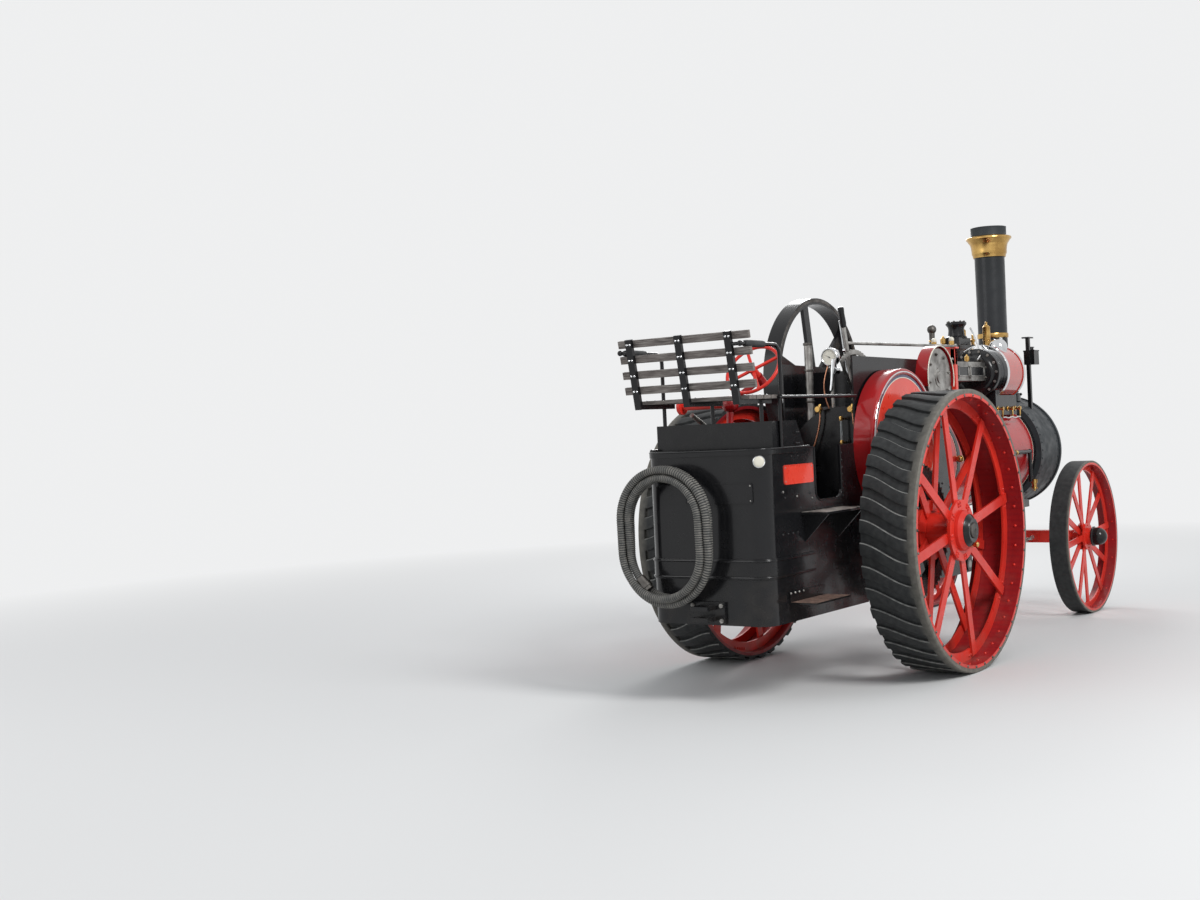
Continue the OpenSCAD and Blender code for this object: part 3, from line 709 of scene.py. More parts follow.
def plate_with_rim(name, corner, right, size, look, thick=0.004, cut=0.012):
    """A blank upright plate with a raised rim, lying on a face."""
    right = Vector(right)
    out = right.cross(UP)
    w, h = size

    def outline(bm, inset, lift):
        c = max(cut - inset, 0.004)
        a0, a1, b0, b1 = inset, w - inset, inset, h - inset
        corners = ((a0 + c, b0), (a1 - c, b0), (a1, b0 + c), (a1, b1 - c),
                   (a1 - c, b1), (a0 + c, b1), (a0, b1 - c), (a0, b0 + c))
        return [bm.verts.new(corner + right * a + UP * b + out * lift) for a, b in corners]

    bm = bmesh.new()
    rows = [outline(bm, 0.004, 0.0), outline(bm, 0.004, thick)]
    skin(bm, rows)
    bm.faces.new(rows[1])
    make_piece(name, bm, look, 0)
    bm = bmesh.new()
    shape = ((0.0, 0.0), (0.001, thick + 0.0025), (0.005, thick + 0.0025), (0.006, thick - 0.001))
    skin(bm, [outline(bm, *row) for row in shape])
    make_piece(name + "_rim", bm, look, 0)
    edge = 0.018
    spots = [(a, b) for a in (edge, w - edge) for b in (edge, h - edge)]
    places = [(corner + right * a + UP * b + out * thick, out) for a, b in spots]
    rivets(name + "_screws", places, STEEL, 5)


def make_plates():
    plate_with_rim("side_plate", at(-1.415, -TENDER_Y, 1.297), FORWARD, (0.36, 0.118), BRIGHT_RED)
    plate_with_rim("rear_plate", at(TENDER_X, 0.13, 1.2), -LEFT, (0.47, 0.125), BLACK)
    a = math.radians(35)
    out = Vector((-math.cos(a), -math.sin(a), 0))
    foot = at(TENDER_X + TENDER_CORNER, -(TENDER_Y - TENDER_CORNER), 1.446) + out * (TENDER_CORNER - 0.004)
    disc = [(0, 31), (8, 31), (11, 28), (12.5, 18), (13, 0)]
    lathe("rear_marker", CREAM, (foot, out, disc), sides=28, smooth=40)
    ring = [(0, 36), (9, 36), (11, 33.5), (9, 31), (0, 31)]
    lathe("rear_marker_rim", CHROME, (foot, out, ring), sides=28, smooth=40)


def tread_plate(name, look, x, y, z, first, step, count, row, bar):
    """A step's plate with raised bars; x, y and z are its ends, and bar(i, k) is half a bar."""
    bm = bmesh.new()
    for _, side in BOTH:
        near, far = sorted((side * y[0], side * y[1]))
        slab(bm, at(x[0], near, z), at(x[1], far, z + 0.0025))
        for i in range(count):
            for k in range(5):
                middle = at(first + step * i, side * (row[0] + row[1] * k), z + 0.0024)
                half = bar(i, k)
                slab(bm, middle - half, middle + half + UP * 0.0014, 0.0006)
    make_piece(name, bm, look, 0)


def make_step_treads():
    def crossed(i, k):
        long = 0.0025 if (i + k) % 2 else 0.009
        return Vector((long, 0.0115 - long, 0))

    def level(i, k):
        return Vector((0.009, 0.0025, 0))

    tread_plate("lower_treads", RUST, (-1.418, -0.982), (0.434, 0.6), 0.6,
                -1.4, 0.027, 16, (0.45, 0.033), level)
    tread_plate("upper_treads", WORN_PLATE, (-1.228, -0.702), (0.424, 0.6), 1.122,
                -1.212, 0.026, 20, (0.442, 0.034), crossed)


make_tender_trim()
make_doorway_corners()
make_belts()
make_plates()
make_step_treads()

# Seat, controls and gauge

SEAT_LEAN = math.atan2(80, 420)
SEAT_POSTS = (-0.34, 0, 0.35)
ARM_Z = 2.13
ARM_Y = (-0.4197, 0.42)


def seat_back(x, y, z):
    """A point of the leaning seat back, from its foot."""
    c, s = math.cos(SEAT_LEAN), math.sin(SEAT_LEAN)
    return at(-1.77 + x * c - z * s, y, 1.786 + x * s + z * c)


def make_seat_trim():
    back = Vector((-math.cos(SEAT_LEAN), 0, -math.sin(SEAT_LEAN)))
    places = []
    for i in range(4):
        for y in SEAT_POSTS:
            places.append((at(-1.6825 + i * 0.085, y, 1.836), UP))
            for dy in (-0.011, 0.011):
                places.append((seat_back(-0.012, y + dy, 0.3975 - i * 0.095), back))
                places.append((seat_back(0.034, y + dy, 0.3975 - i * 0.095), -back))
    rivets("seat_bolts", places, CHROME, 7.5)
    bm = bmesh.new()
    knob = [(0, 0), (1, 6), (5, 12), (11, 16.2), (17, 17), (24, 15.5), (30, 12.5)]
    for y, foot, inner in zip(ARM_Y, (1.832, 1.8), (SEAT_POSTS[0], SEAT_POSTS[2])):
        bend = arc(-1.46, 2.07, 0.06, 0.06, 90, 0, 7)
        path = [(-1.844, ARM_Z), (-1.7, ARM_Z), (-1.5, ARM_Z), *bend, (-1.4, 1.95), (-1.4, foot)]
        tube(bm, [at(x, y, z) for x, z in path], 0.012, 14)
        tube(bm, [at(-1.834, y, ARM_Z), at(-1.834, inner, ARM_Z)], 0.011, 12)
        turned(bm, at(-1.861, y, ARM_Z), FORWARD, knob, 18)
    tube(bm, [at(-1.4, 0.35, 1.8), at(-1.4, 0.42, 1.8)], 0.012, 12)
    make_piece("armrests", bm, BLACK, 40)
    grip = [(0, 12.5), (4, 18), (20, 20.5), (100, 21.5), (200, 20.5), (218, 18), (222, 12.5)]
    lathe("arm_grips", HOSE, *((at(-1.8, y, ARM_Z), FORWARD, grip) for y in ARM_Y), sides=20, smooth=40)


def make_controls():
    low, high = Vector((-0.205, -0.3, 1.8)), Vector((-0.35, -0.3, 2.4))
    along = (high - low).normalized()
    grip = [(0, 14.5), (3, 19), (30, 22), (90, 19.5), (122, 21.5), (136, 17), (140, 0)]
    lathe("lever_grip", BLACK, (at(*high) - along * 0.13, along, grip), sides=20, smooth=40)
    bm = bmesh.new()
    rod = [at(-0.235, -0.276, 1.93) + along * (0.04 * k) for k in range(11)]
    tube(bm, rod, 0.005, 8)
    for k in (0, 5):
        turned(bm, rod[k] - LEFT * 0.026, LEFT, [(0, 12), (30, 12), (34, 8), (34, 0)], 14)
    curve = ((0.126, 2.01), (0.108, 2.06), (0.098, 2.09), (0.09, 2.085), (0.083, 2.05), (0.07, 1.98),
             (0.055, 1.92), (0.045, 1.885), (0.038, 1.87))
    radii = [0.012, 0.012, 0.012, 0.013, 0.0135, 0.0125, 0.0115, 0.0125, 0.009]
    tube(bm, [at(x, 0, z) for x, z in curve], radii, 14)
    turned(bm, at(0.1, 0, 2.01), FORWARD, [(0, 0), (0, 20), (6, 24), (50, 24)], 20)
    make_piece("regulator_handle", bm, CHROME, 40)
    body = [(0, 0), (0, 19), (6, 22.5), (12, 19), (14, 6), (35, 6), (36, 13), (58, 13)]
    spout = [(0, 0), (0, 8), (12, 11), (60, 11), (66, 7), (66, 0)]
    forms = []
    for y, z in ((-0.12, 1.74), (-0.2, 1.72), (0.13, 1.75)):
        forms += [(at(0.07, y, z), FORWARD, body), (at(0.112, y, z - 0.03), UP, spout, 14)]
    lathe("backhead_cocks", BRASS, *forms, smooth=40)
    shares = [k / 14 for k in range(15)]
    runs = []
    for y0, z0, y1, z1 in ((-0.12, 1.71, -0.22, 1.2), (-0.2, 1.69, -0.3, 1.25), (0.13, 1.72, 0.27, 1.2)):
        eased = ((t, t * t * (3 - 2 * t)) for t in shares)
        runs.append(([at(0.112, y0 + (y1 - y0) * s, z0 + (z1 - z0) * t) for t, s in eased], 0.007))
    swing = ((t, math.sin(t * math.pi)) for t in shares)
    runs.append(([at(0.19 - 0.02 * s, 0.09 + 0.03 * s, 2.06 - 0.33 * t) for t, s in swing], 0.005))
    pipes("backhead_pipes", COPPER, *runs, smooth=50)
    glass = (at(0.09, -0.04, 1.52), UP, [(0, 0), (0, 8), (160, 8), (160, 0)])
    lathe("water_glass", GLASS, glass, sides=14, smooth=40)
    forms = []
    for z in (1.5, 1.665):
        forms.append((at(0.09, -0.04, z), UP, [(0, 0), (0, 13), (20, 15), (30, 10), (30, 0)], 12))
        forms.append((at(0.09, -0.04, z + 0.012), FORWARD, [(0, 8), (50, 8)], 10))
    lathe("water_glass_ends", BRASS, *forms, smooth=40)


def make_quadrant():
    """The notched quadrant that the reversing lever moves along, and the column's collars."""
    x0, y0, z0, half = -0.205, -0.312, 1.8, 0.004
    bm = bmesh.new()

    def plate(points):
        prism(bm, [(x0 + x, z0 + z) for x, z in points], y0 - half, y0 + half)

    for k in range(24):
        a, b = math.radians(58 + 3 * k), math.radians(61 + 3 * k)
        outer = 0.33 if k % 2 else 0.325
        corners = ((0.298, a), (outer, a), (outer, b), (0.298, b))
        plate([(r * math.cos(t), r * math.sin(t)) for r, t in corners])
    for degrees in (60, 128):
        c, s = math.cos(math.radians(degrees)), math.sin(math.radians(degrees))
        corners = ((0, -0.013), (0.3, -0.013), (0.3, 0.013), (0, 0.013))
        plate([(c * r - s * w, s * r + c * w) for r, w in corners])
    turned(bm, at(x0, y0, z0), -LEFT, [(-12, 30), (12, 30), (14, 20), (24, 18), (26, 0)], 24)
    make_piece("lever_quadrant", bm, STEEL, 30)
    forms = []
    for z, r, h in ((2.204, 34, 20), (2.02, 36, 16), (1.8, 36, 16)):
        collar = [(0, 27.5), (1, r - 2), (3, r), (h - 3, r), (h - 1, r - 2), (h, 20), (h, 0)]
        forms.append((at(0.2, 0.25, z), UP, collar))
    lathe("column_collars", OILY, *forms, sides=28, smooth=30)


def make_gauge():
    middle, out = at(0.17, 0.07, 2.11), -FORWARD
    lathe("gauge_dial", CREAM, (middle, out, [(0, 51.5), (1, 51.5), (1.2, 0)]), sides=40, smooth=0)
    bm = bmesh.new()
    face = middle + out * 0.0013

    def way(degrees):
        return -LEFT * math.cos(math.radians(degrees)) + UP * math.sin(math.radians(degrees))

    for k in range(25):
        inner, r = (0.037, 0.0008) if k % 4 == 0 else (0.041, 0.0005)
        mark = way(225 - 270 * k / 24)
        tube(bm, [face + mark * inner, face + mark * 0.0455], r, 4)
    tip = face + out * 0.0015
    tube(bm, [tip - way(150) * 0.012, tip, tip + way(150) * 0.036], [0.0022, 0.0016, 0.0004], 6)
    turned(bm, face, out, [(0, 4), (3, 4), (4, 0)], 12)
    make_piece("gauge_marks", bm, BLACK, 0)
    bezel = [(0, 51.2), (4, 52.2), (7, 56), (5, 61), (-2, 65.5), (-40, 65.5), (-45, 62.5)]
    lathe("gauge_bezel", CHROME, (middle, out, bezel), sides=40, smooth=50)


make_seat_trim()
make_controls()
make_quadrant()
make_gauge()

# Wheels


def towards_axle(point, x, z):
    return (at(x, point.y, z) - point).normalized()


def make_rear_wheel_trim():
    flange = [(924.5, 129), (926.5, 134), (946, 131), (952, 125), (957, 119), (974, 104.5)]
    cap = [(966, 100), (968, 105.5), (975, 106.5), (980, 103), (994, 84), (1002, 78), (1002.5, 60),
           (1000, 52), (1000, 50)]
    end = [(998, 51), (1007.5, 49), (1009.5, 44), (1009.5, 12), (1007.5, 10), (1007.5, 0)]
    cup = [(0, 16), (6, 16), (8, 9), (20, 9), (22, 18), (45, 18), (50, 13), (52, 0)]
    for name, side in BOTH:
        body = "rear_wheel_" + name
        out = side * LEFT
        lip, faces = [], []
        for k in range(40):
            a = 4.5 + 9 * k
            lip.append((wheel_point(0, REAR_Z, 0.875, a, side * REAR_EDGE), out))
            point = wheel_point(0, REAR_Z, 0.8655, a + 2, side * 0.948)
            faces.append((point, towards_axle(point, 0, REAR_Z)))
        rivets("rim_bolts_" + name, lip, OILY, 9.5, body)
        for k in range(8):
            for y, first, facing in ((0.89, 11, out), (0.7, 33.5, -out)):
                middle = first + 45 * k
                for i in range(-2, 3):
                    faces.append((wheel_point(0, REAR_Z, 0.84, middle + i * 2.1, side * y), facing))
            for r in (0.165, 0.185):
                for turn in (-4.5, 4.5):
                    faces.append((wheel_point(0, REAR_Z, r, 11 + 45 * k + turn, side * 0.925), out))
        rivets("wheel_rivets_" + name, faces, WHEEL_RED, 10.5, body)
        hub = at(0, 0, REAR_Z)
        lathe("hub_flange_" + name, WHEEL_RED, (hub, out, flange), sides=56, body=body)
        lathe("hub_cap_" + name, BLACK, (hub, out, cap), sides=56, body=body)
        lathe("hub_end_" + name, OILY, (hub, out, end), sides=40, body=body)
        foot = wheel_point(0, REAR_Z, 0.168, -38, side * 0.925)
        lathe("grease_cup_" + name, BRASS, (foot, out, cup), sides=20, body=body)


def make_front_wheel_trim():
    cap = [(768, 70.5), (770, 80), (779, 81), (783, 76), (786, 72.5),
           *arc(813, 0, 69, 71.5, 90, 9, 10), (882, 0)]
    for name, side in BOTH:
        body = "front_wheel_" + name
        out = side * LEFT
        faces = []
        for k in range(6):
            for y, first, facing in ((0.704, 5, out), (0.692, 35, -out)):
                for turn in (-2.4, 0, 2.4):
                    angle = first + 60 * k + turn
                    faces.append((wheel_point(FRONT_X, FRONT_Z, 0.572, angle, side * y), facing))
            faces.append((wheel_point(FRONT_X, FRONT_Z, 0.093, 35 + 60 * k, side * 0.73), out))
        for k in range(24):
            point = wheel_point(FRONT_X, FRONT_Z, 0.5895, 7.5 + 15 * k, side * 0.742)
            faces.append((point, towards_axle(point, FRONT_X, FRONT_Z)))
        rivets("front_rivets_" + name, faces, WHEEL_RED, 7, body)
        lathe("front_cap_" + name, BLACK, (at(FRONT_X, 0, FRONT_Z), out, cap), sides=48, body=body)


make_rear_wheel_trim()
make_front_wheel_trim()

# Treads of the rear wheels

STRAKES = 40
STRAKE_SHARE = 0.6
STRAKE_STEPS = 12
TREAD_IN = 0.643
TREAD_BASE = 0.895
TREAD_MARGIN = 0.052


def strake_slide(share):
    """How far round the wheel a strake has slid, from its inner end (0) to its outer end (1)."""
    return 0.128 * (0.17 * share + 0.83 * share * share * (3 - 2 * share))


def make_strakes():
    width = 2 * math.pi * REAR_R / STRAKES * STRAKE_SHARE
    hidden = TREAD_BASE - 0.003
    section = ((0, hidden), (0.002, REAR_R - 0.0065), (0.008, REAR_R - 0.0005), (0.02, REAR_R),
               (width - 0.012, REAR_R - 0.001), (width - 0.003, REAR_R - 0.004), (width, hidden))
    edge = 1000 * REAR_EDGE
    margin = edge - 1000 * TREAD_MARGIN
    base, top = 1000 * TREAD_BASE, 1000 * REAR_R
    ring = [(1000 * TREAD_IN, 885.5), (1000 * TREAD_IN, base), (margin, base), (margin, top - 3),
            (margin + 4, top), (edge - 6, top), (edge, top - 6), (edge, 885.5)]
    last = REAR_EDGE - TREAD_MARGIN + 0.003
    for name, side in BOTH:
        bm = bmesh.new()
        turned(bm, at(0, 0, REAR_Z), side * LEFT, ring, 160)
        for i in range(STRAKES):
            rows = []
            for k in range(STRAKE_STEPS + 1):
                share = k / STRAKE_STEPS
                y = TREAD_IN + 0.0005 + (last - TREAD_IN) * share
                row = []
                for way, r in section:
                    a = 2 * math.pi * i / STRAKES + (strake_slide(share) + way) / REAR_R
                    row.append(bm.verts.new(at(r * math.cos(a), side * y, REAR_Z + r * math.sin(a))))
                rows.append(row)
            for first, second in zip(rows, rows[1:]):
                for k in range(len(section) - 1):
                    face = bm.faces.new((first[k], first[k + 1], second[k + 1], second[k]))
                    # The face at k == 1 takes the lighter second material: partly dust, partly a painted
                    # highlight on each strake's upper edge at the back of the wheel.
                    face.material_index = int(k == 1)
            bm.faces.new(rows[0])
            bm.faces.new(rows[-1])
        tread = make_piece("rear_tread_" + name, bm, RUBBER, 28, "rear_wheel_" + name)
        tread.data.materials.append(STRAKE_DUST_AND_HIGHLIGHT[0])
        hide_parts("rear_tyre_" + name)


make_strakes()

# Gear teeth

THIRD_Z = 1.474
FINAL_TEETH, PINION_TEETH = 60, 18
MODULE = (THIRD_Z - REAR_Z) * 2 / (FINAL_TEETH + PINION_TEETH)
GEAR_Y0, GEAR_Y1 = -0.64, -0.572


def toothed(bm, z, teeth, tip, foot):
    """Trapezoid teeth round an axis over the rear axle; tip and foot are half widths in modules."""
    pitch_r = teeth * MODULE / 2
    root, tip_r = pitch_r - 0.7 * MODULE, pitch_r + 0.9 * MODULE
    half = ((root, foot), (pitch_r, 0.72), (tip_r, tip))
    outline = [(r, -w) for r, w in half] + [(r, w) for r, w in half[::-1]]
    for i in range(teeth):
        angles = [(r, 2 * math.pi * i / teeth + w * MODULE / r) for r, w in outline]
        prism(bm, [(r * math.cos(a), z + r * math.sin(a)) for r, a in angles], GEAR_Y0, GEAR_Y1)


def make_teeth():
    bm = bmesh.new()
    toothed(bm, REAR_Z, FINAL_TEETH, 0.4, 1.05)
    make_piece("final_gear_teeth", bm, OILY, 0, "rear_wheel_right")
    bm = bmesh.new()
    toothed(bm, THIRD_Z, PINION_TEETH, 0.36, 0.95)
    boss = [(640, 60), (645, 55), (645, 36), (660, 34), (662, 26), (662, 0)]
    turned(bm, at(0, 0, THIRD_Z), -LEFT, boss, 24)
    make_piece("pinion_teeth", bm, OILY, 0, "third_shaft")


make_teeth()

# Steering chains

CHAIN_Y = 0.3
CHAIN_END_X = FRONT_X - 0.076
CHAIN_TAIL = 0.13
DRUM_AT = (1.31, 0.56)
DRUM_WRAP = 0.0603
LINK_PITCH = 0.062
LINK_WIRE = 0.0055
LINK_HALF = 0.0125


def make_chains():
    reach = LINK_PITCH / 2 + LINK_WIRE - LINK_HALF
    for name, side in BOTH[::-1]:
        start = Vector((DRUM_AT[0], side * CHAIN_Y, DRUM_AT[1] + side * DRUM_WRAP))
        end = Vector((CHAIN_END_X, side * CHAIN_Y, FRONT_Z))
        along = (end - start).normalized()
        links = int(((end - start).length + CHAIN_TAIL - 2 * LINK_WIRE) / LINK_PITCH)
        bm = bmesh.new()
        for i in range(links):
            middle = end - along * ((i + 0.5) * LINK_PITCH + 2 * LINK_WIRE)
            up = LEFT if i % 2 else along.cross(LEFT)
            loop = []
            for k in range(16):
                c, s = math.cos(math.pi * k / 8), math.sin(math.pi * k / 8)
                push = 0 if abs(c) < 0.001 else math.copysign(reach, c)
                loop.append(at(*(middle + along * (push + LINK_HALF * c) + up * (LINK_HALF * s))))
            tube(bm, loop + loop[:2], LINK_WIRE, 8, closed_ends=False)
        chain = make_piece("steering_links_" + name, bm, STEEL, 60, "chain_" + name)
        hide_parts("chain_" + name)


make_chains()

# Gear cover, crank guard and flywheel

COVER_AT = (0.01, 0, 1.49)
CRANK_AT = (0.75, 0, 1.936)
GUARD_R = 0.2225
GUARD_FOOT = -0.06


def rings(middle, axis, rows, sides=96):
    """Pieces of one turned form each, round one axis; rows are (name, look, profile, ...)."""
    for name, look, profile, *own in rows:
        lathe(name, look, (middle, axis, profile), sides=own[0] if own else sides)


def make_covers():
    out = -LEFT
    middle = at(*COVER_AT)
    rings(middle, out, (
        ("cover_face", BRIGHT_RED, [(549.5, 62), (551.2, 63), (551.2, 436), (549.5, 437)]),
        ("cover_line_cream", CREAM, [(549.5, 437), (551.5, 437.5), (551.5, 443.5), (549.5, 444)]),
        ("cover_line_navy", NAVY, [(549.5, 444), (551.3, 444.5), (551.3, 458.5), (549.5, 459)]),
        ("cover_rim", RED, [(530, 500.5), (549.5, 500.5), (556, 497), (559.5, 491), (559.5, 468),
                            (556, 462.5), (550, 460)]),
        ("cover_bead", CHROME, [(559.2, 484), (561, 482.5), (561, 476), (559.2, 474.5)]),
    ))
    bolts("cover_studs", bolt_circle(middle + out * 0.5512, out, 0.11, 8), STEEL, 11)
    crank = at(*CRANK_AT)
    low = math.degrees(math.asin(GUARD_FOOT / 0.223)) - math.degrees(0.02)
    bead = arc(CRANK_AT[0], CRANK_AT[2], GUARD_R, GUARD_R, low, 180 - low, 49)
    pipes("guard_beading", CREAM, ([at(x, -0.5, z) for x, z in bead], 0.0042, 8), smooth=50)
    bolts("crank_disc_bolts", bolt_circle(crank + out * 0.485, out, 0.165, 8, 12), STEEL, 12, "crankshaft")
    boss = [(484, 70), (489, 68), (490, 45), (496, 43), (498, 30), (498, 0)]
    lathe("crank_boss", STEEL, (crank, out, boss), sides=40, body="crankshaft")
    for name, y, lift in (("inner", 450, -1.5), ("outer", 570, 1.5)):
        edge = [(y, 638.5), (y + lift, 637.5), (y + lift, 617.5), (y, 616.5)]
        lathe("flywheel_edge_" + name, OILY, (crank, LEFT, edge), sides=96, body="crankshaft")


make_covers()

# Boiler, smokebox, chimney and lamp

BOILER_Z = 1.345
BOILER_R = 0.41
SMOKE_X0, SMOKE_X1 = 2.8, 3.25
SMOKE_R = 0.455
CHIMNEY_X = 3.015
CYL_X0 = 2.12
CYL_Y, CYL_Z = -0.2, 1.99
BAND_X = (1.18, 1.7, CYL_X0, SMOKE_X0 - 0.06)
LAMP_Y = -0.285


def make_boiler_trim():
    r = 1000 * BOILER_R
    band = [(-2, r), (-1.5, r + 5.5), (46.5, r + 5.5), (47, r)]
    lathe("boiler_bands", BLACK, *((at(x, 0, BOILER_Z), FORWARD, band) for x in BAND_X), sides=96)
    line = [(-2, r), (-1.8, r + 1.2), (1.8, r + 1.2), (2, r)]
    lines = [(at(x + dx, 0, BOILER_Z), FORWARD, line) for x in BAND_X for dx in (-0.006, 0.051)]
    lathe("boiler_lining", CREAM, *lines, sides=96)
    bm = bmesh.new()
    for x in BAND_X:
        for degrees in (-92.2, -87.8):
            foot = wheel_point(x + 0.0225, 0, 0, 0, 0)
            a, reach = math.radians(degrees), BOILER_R + 0.004
            foot += Vector((0, reach * math.cos(a), BOILER_Z + reach * math.sin(a)))
            slab(bm, foot + Vector((-0.018, -0.003, -0.018)), foot + Vector((0.018, 0.003, 0.004)), 0.001)
    make_piece("band_clamps", bm, BLACK, 0)
    front = around(at(SMOKE_X1, 0, BOILER_Z), FORWARD, SMOKE_R - 0.02, 44, 4)
    places = [(point, FORWARD) for point, _ in front]
    for x in (SMOKE_X0 + 0.03, SMOKE_X1 - 0.06):
        places += around(at(x, 0, BOILER_Z), FORWARD, SMOKE_R, 44, 4)
    rivets("smokebox_rivets", places, SMOKE_BLACK, 9)


def make_chimney_trim():
    chimney = at(CHIMNEY_X, 0, 0)
    foot = [(1760, 206), (1827, 206), *arc(1965, 206, -138, -69, 9, 90, 10), (1970, 135), (1972, 139),
            (1990, 139), (1992, 134), (2008, 132), (2012, 120)]
    lathe("chimney_foot", CHIMNEY_BLACK, (chimney, UP, foot), sides=72)
    places = []
    for k in range(12):
        a = math.radians(15 + 30 * k)
        out = Vector((math.cos(a), math.sin(a), 0))
        places.append((at(CHIMNEY_X, 0, 1.8165) + out * 0.2055, out))
    bolts("chimney_bolts", places, BLACK, 12)
    bell = [(2984, 126), (2984, 134.5), (3005, 137.5), (3012, 142.5), (3020, 144.5),
            *arc(3020, 187, 118, -42.5, 81, 0, 10), (3148, 187.5), (3155, 184), (3158, 176), (3167, 147)]
    crown = [(3162, 148), (3170, 146.2), (3228, 146.2), (3236.5, 148), (3238.5, 146), (3238.5, 120),
             (3230, 117.5), (3170, 117)]
    band = [(2300, 120), (2302, 126.5), (2308, 128.5), (2334, 128.5), (2340, 126.5), (2342, 120)]
    rings(chimney, UP, (
        ("chimney_band", BRASS, band),
        ("cap_bell", BRASS, bell, 96),
        ("cap_crown", SMOKE_BLACK, crown),
        ("chimney_seam", BLACK, [(2978, 123.5), (2980, 127.5), (2986, 128), (2988, 126)]),
    ), sides=64)


def make_lamp():
    middle = at(3.18, LAMP_Y, 2.12)
    bm = bmesh.new()
    turned(bm, middle, FORWARD, [(-2, 41), (6, 42), (9, 38), (6, 34)], 32)
    chimney = [(0, 30), (6, 31), (10, 22), (24, 20), (26, 28), (32, 27), (36, 0)]
    turned(bm, at(3.125, LAMP_Y, 2.178), UP, chimney, 24)
    slab(bm, at(3.066, LAMP_Y - 0.049, 2.172), at(3.184, LAMP_Y + 0.049, 2.182))
    make_piece("lamp_fittings", bm, BLACK)
    lens = [(1, 34.5), (5, 26), (7.5, 13), (8, 0)]
    lathe("lamp_lens", GLASS, (middle, FORWARD, lens), sides=32, smooth=40)


make_boiler_trim()
make_chimney_trim()
make_lamp()

# Cylinder and motion

OIL_CUP = ((0, 0), (0, 9), (12, 9), (14, 17), (40, 17), (44, 13), (50, 6), (56, 5), (60, 0))
GOVERNOR_AT = (1.9, 0.06)
BALL_Y = 0.066


def oil_cup(place, size):
    return place, UP, [(way * size, r * size) for way, r in OIL_CUP], 18


def whistle(s, tall):
    """A bell whistle: s scales its radii, and tall is the height of its bell in millimetres."""
    base = [(0, 36 * s), (8, 36 * s), (12, 31 * s), (50, 31 * s), (52, 36 * s), (60, 36 * s), (62, 31.5 * s)]
    top = ((0, 31.5), (4, 34), (12, 26), (24, 10), (30, 8), (42, 12), (50, 0))
    return base + [(tall + way, r * s) for way, r in top]


def make_cylinder_trim():
    middle = at(CYL_X0, CYL_Y, CYL_Z)
    rings(middle, FORWARD, (
        ("lagging_band_rear", CHROME, [(104.5, 223.5), (105, 225.5), (141.5, 225.5), (142, 223.5)]),
        ("lagging_band_front", CHROME, [(442.5, 223.5), (443, 225.5), (479.5, 225.5), (480, 223.5)]),
        ("lagging_end", CHROME, [(103.5, 188), (103.5, 222.5), (104.5, 223.5)]),
    ))
    rear = [(-100, 191.5), (-12, 192.5), (2, 191.5), (6, 188), (8, 158), (14, 145), (26, 136),
            (30, 120), (30, 60)]
    front = [(479.5, 183), (494, 182), (498, 178), (500, 152), (515, 151.5), (524, 140), (530, 100),
             (533, 40), (533, 0)]
    lathe("cylinder_cover_rear", BLACK, (middle, -FORWARD, rear), sides=80)
    lathe("cylinder_cover_front", BLACK, (middle, FORWARD, front), sides=80)
    places = bolt_circle(middle - FORWARD * 0.0075, FORWARD, 0.172, 14, 6, -FORWARD)
    places += bolt_circle(middle + FORWARD * 0.499, FORWARD, 0.166, 14, 6)
    bolts("cylinder_nuts", places, STEEL, 11.5)
    gland = [(29, 62), (34, 62), (38, 50), (80, 48), (84, 40), (86, 26.5)]
    lathe("piston_gland", BRASS, (middle, -FORWARD, gland), sides=36)


def make_valve_chest_trim():
    x0 = CYL_X0
    pot_x, pot_y = x0 + 0.24, 0.05
    places = [(at(x0 + x, y, 2.23), UP) for x in (0.095, 0.19, 0.29, 0.385) for y in (-0.028, 0.128)]
    places += [(at(x0 + x, 0.12, z), LEFT) for x in (0.1, 0.2, 0.3, 0.4, 0.465) for z in (1.81, 1.87)]
    places += bolt_circle(at(pot_x, pot_y, 2.421), UP, 0.066, 8, 10)
    pot = [(0, 84), (14, 84), (17, 80), (24, 68), (70, 62.5), (95, 66), (112, 80), (116, 83), (130, 83),
           (134, 80), (136, 50), (140, 46), (140, 0)]
    lathe("valve_pot", BLACK, (at(pot_x, pot_y, 2.285), UP, pot), sides=48)
    large = (at(x0 + 0.33, -0.17, 2.203), UP, whistle(0.95, 160))
    small = (at(x0 + 0.38, 0.05, 2.23), UP, whistle(0.7, 120))
    lathe("whistles", BRASS, large, small, sides=28)
    lean = Vector((0, -0.085, 0.202))
    dome = [(-30, 66), (-24, 75.5), (-12, 76.5), *arc(0, 0, 73, 73, 96, 6, 16), (72.8, 11), (78, 10),
            (84, 8), (85, 0)]
    lathe("oiler_dome", CHROME, (at(x0 + 0.27, CYL_Y - 0.085, 2.192), lean, dome), sides=48)
    bolts("chest_nuts", places, OILY, 9.5)
    cups = ((0.42, -0.02, 2.17), (0.45, 0.1, 2.17), (0.11, 0.11, 2.23))
    forms = [oil_cup(at(x0 + x, y, z), 1.4) for x, y, z in cups]
    valve = [(0, 14), (90, 14), (94, 20), (110, 20), (115, 10), (150, 9), (154, 0)]
    forms.append((at(x0 + 0.44, -0.005, 2.17), UP, valve))
    for x in (0.09, 0.3, 0.46):
        foot = at(x0 + x, -0.33, 1.7)
        forms.append((foot, -LEFT, [(0, 20), (6, 20), (8, 10), (30, 10), (32, 15), (50, 15), (52, 0)]))
        forms.append((foot - LEFT * 0.04, -UP, [(0, 8), (50, 8), (52, 5), (70, 5)], 12))
    lathe("cylinder_fittings", BRASS, *forms)


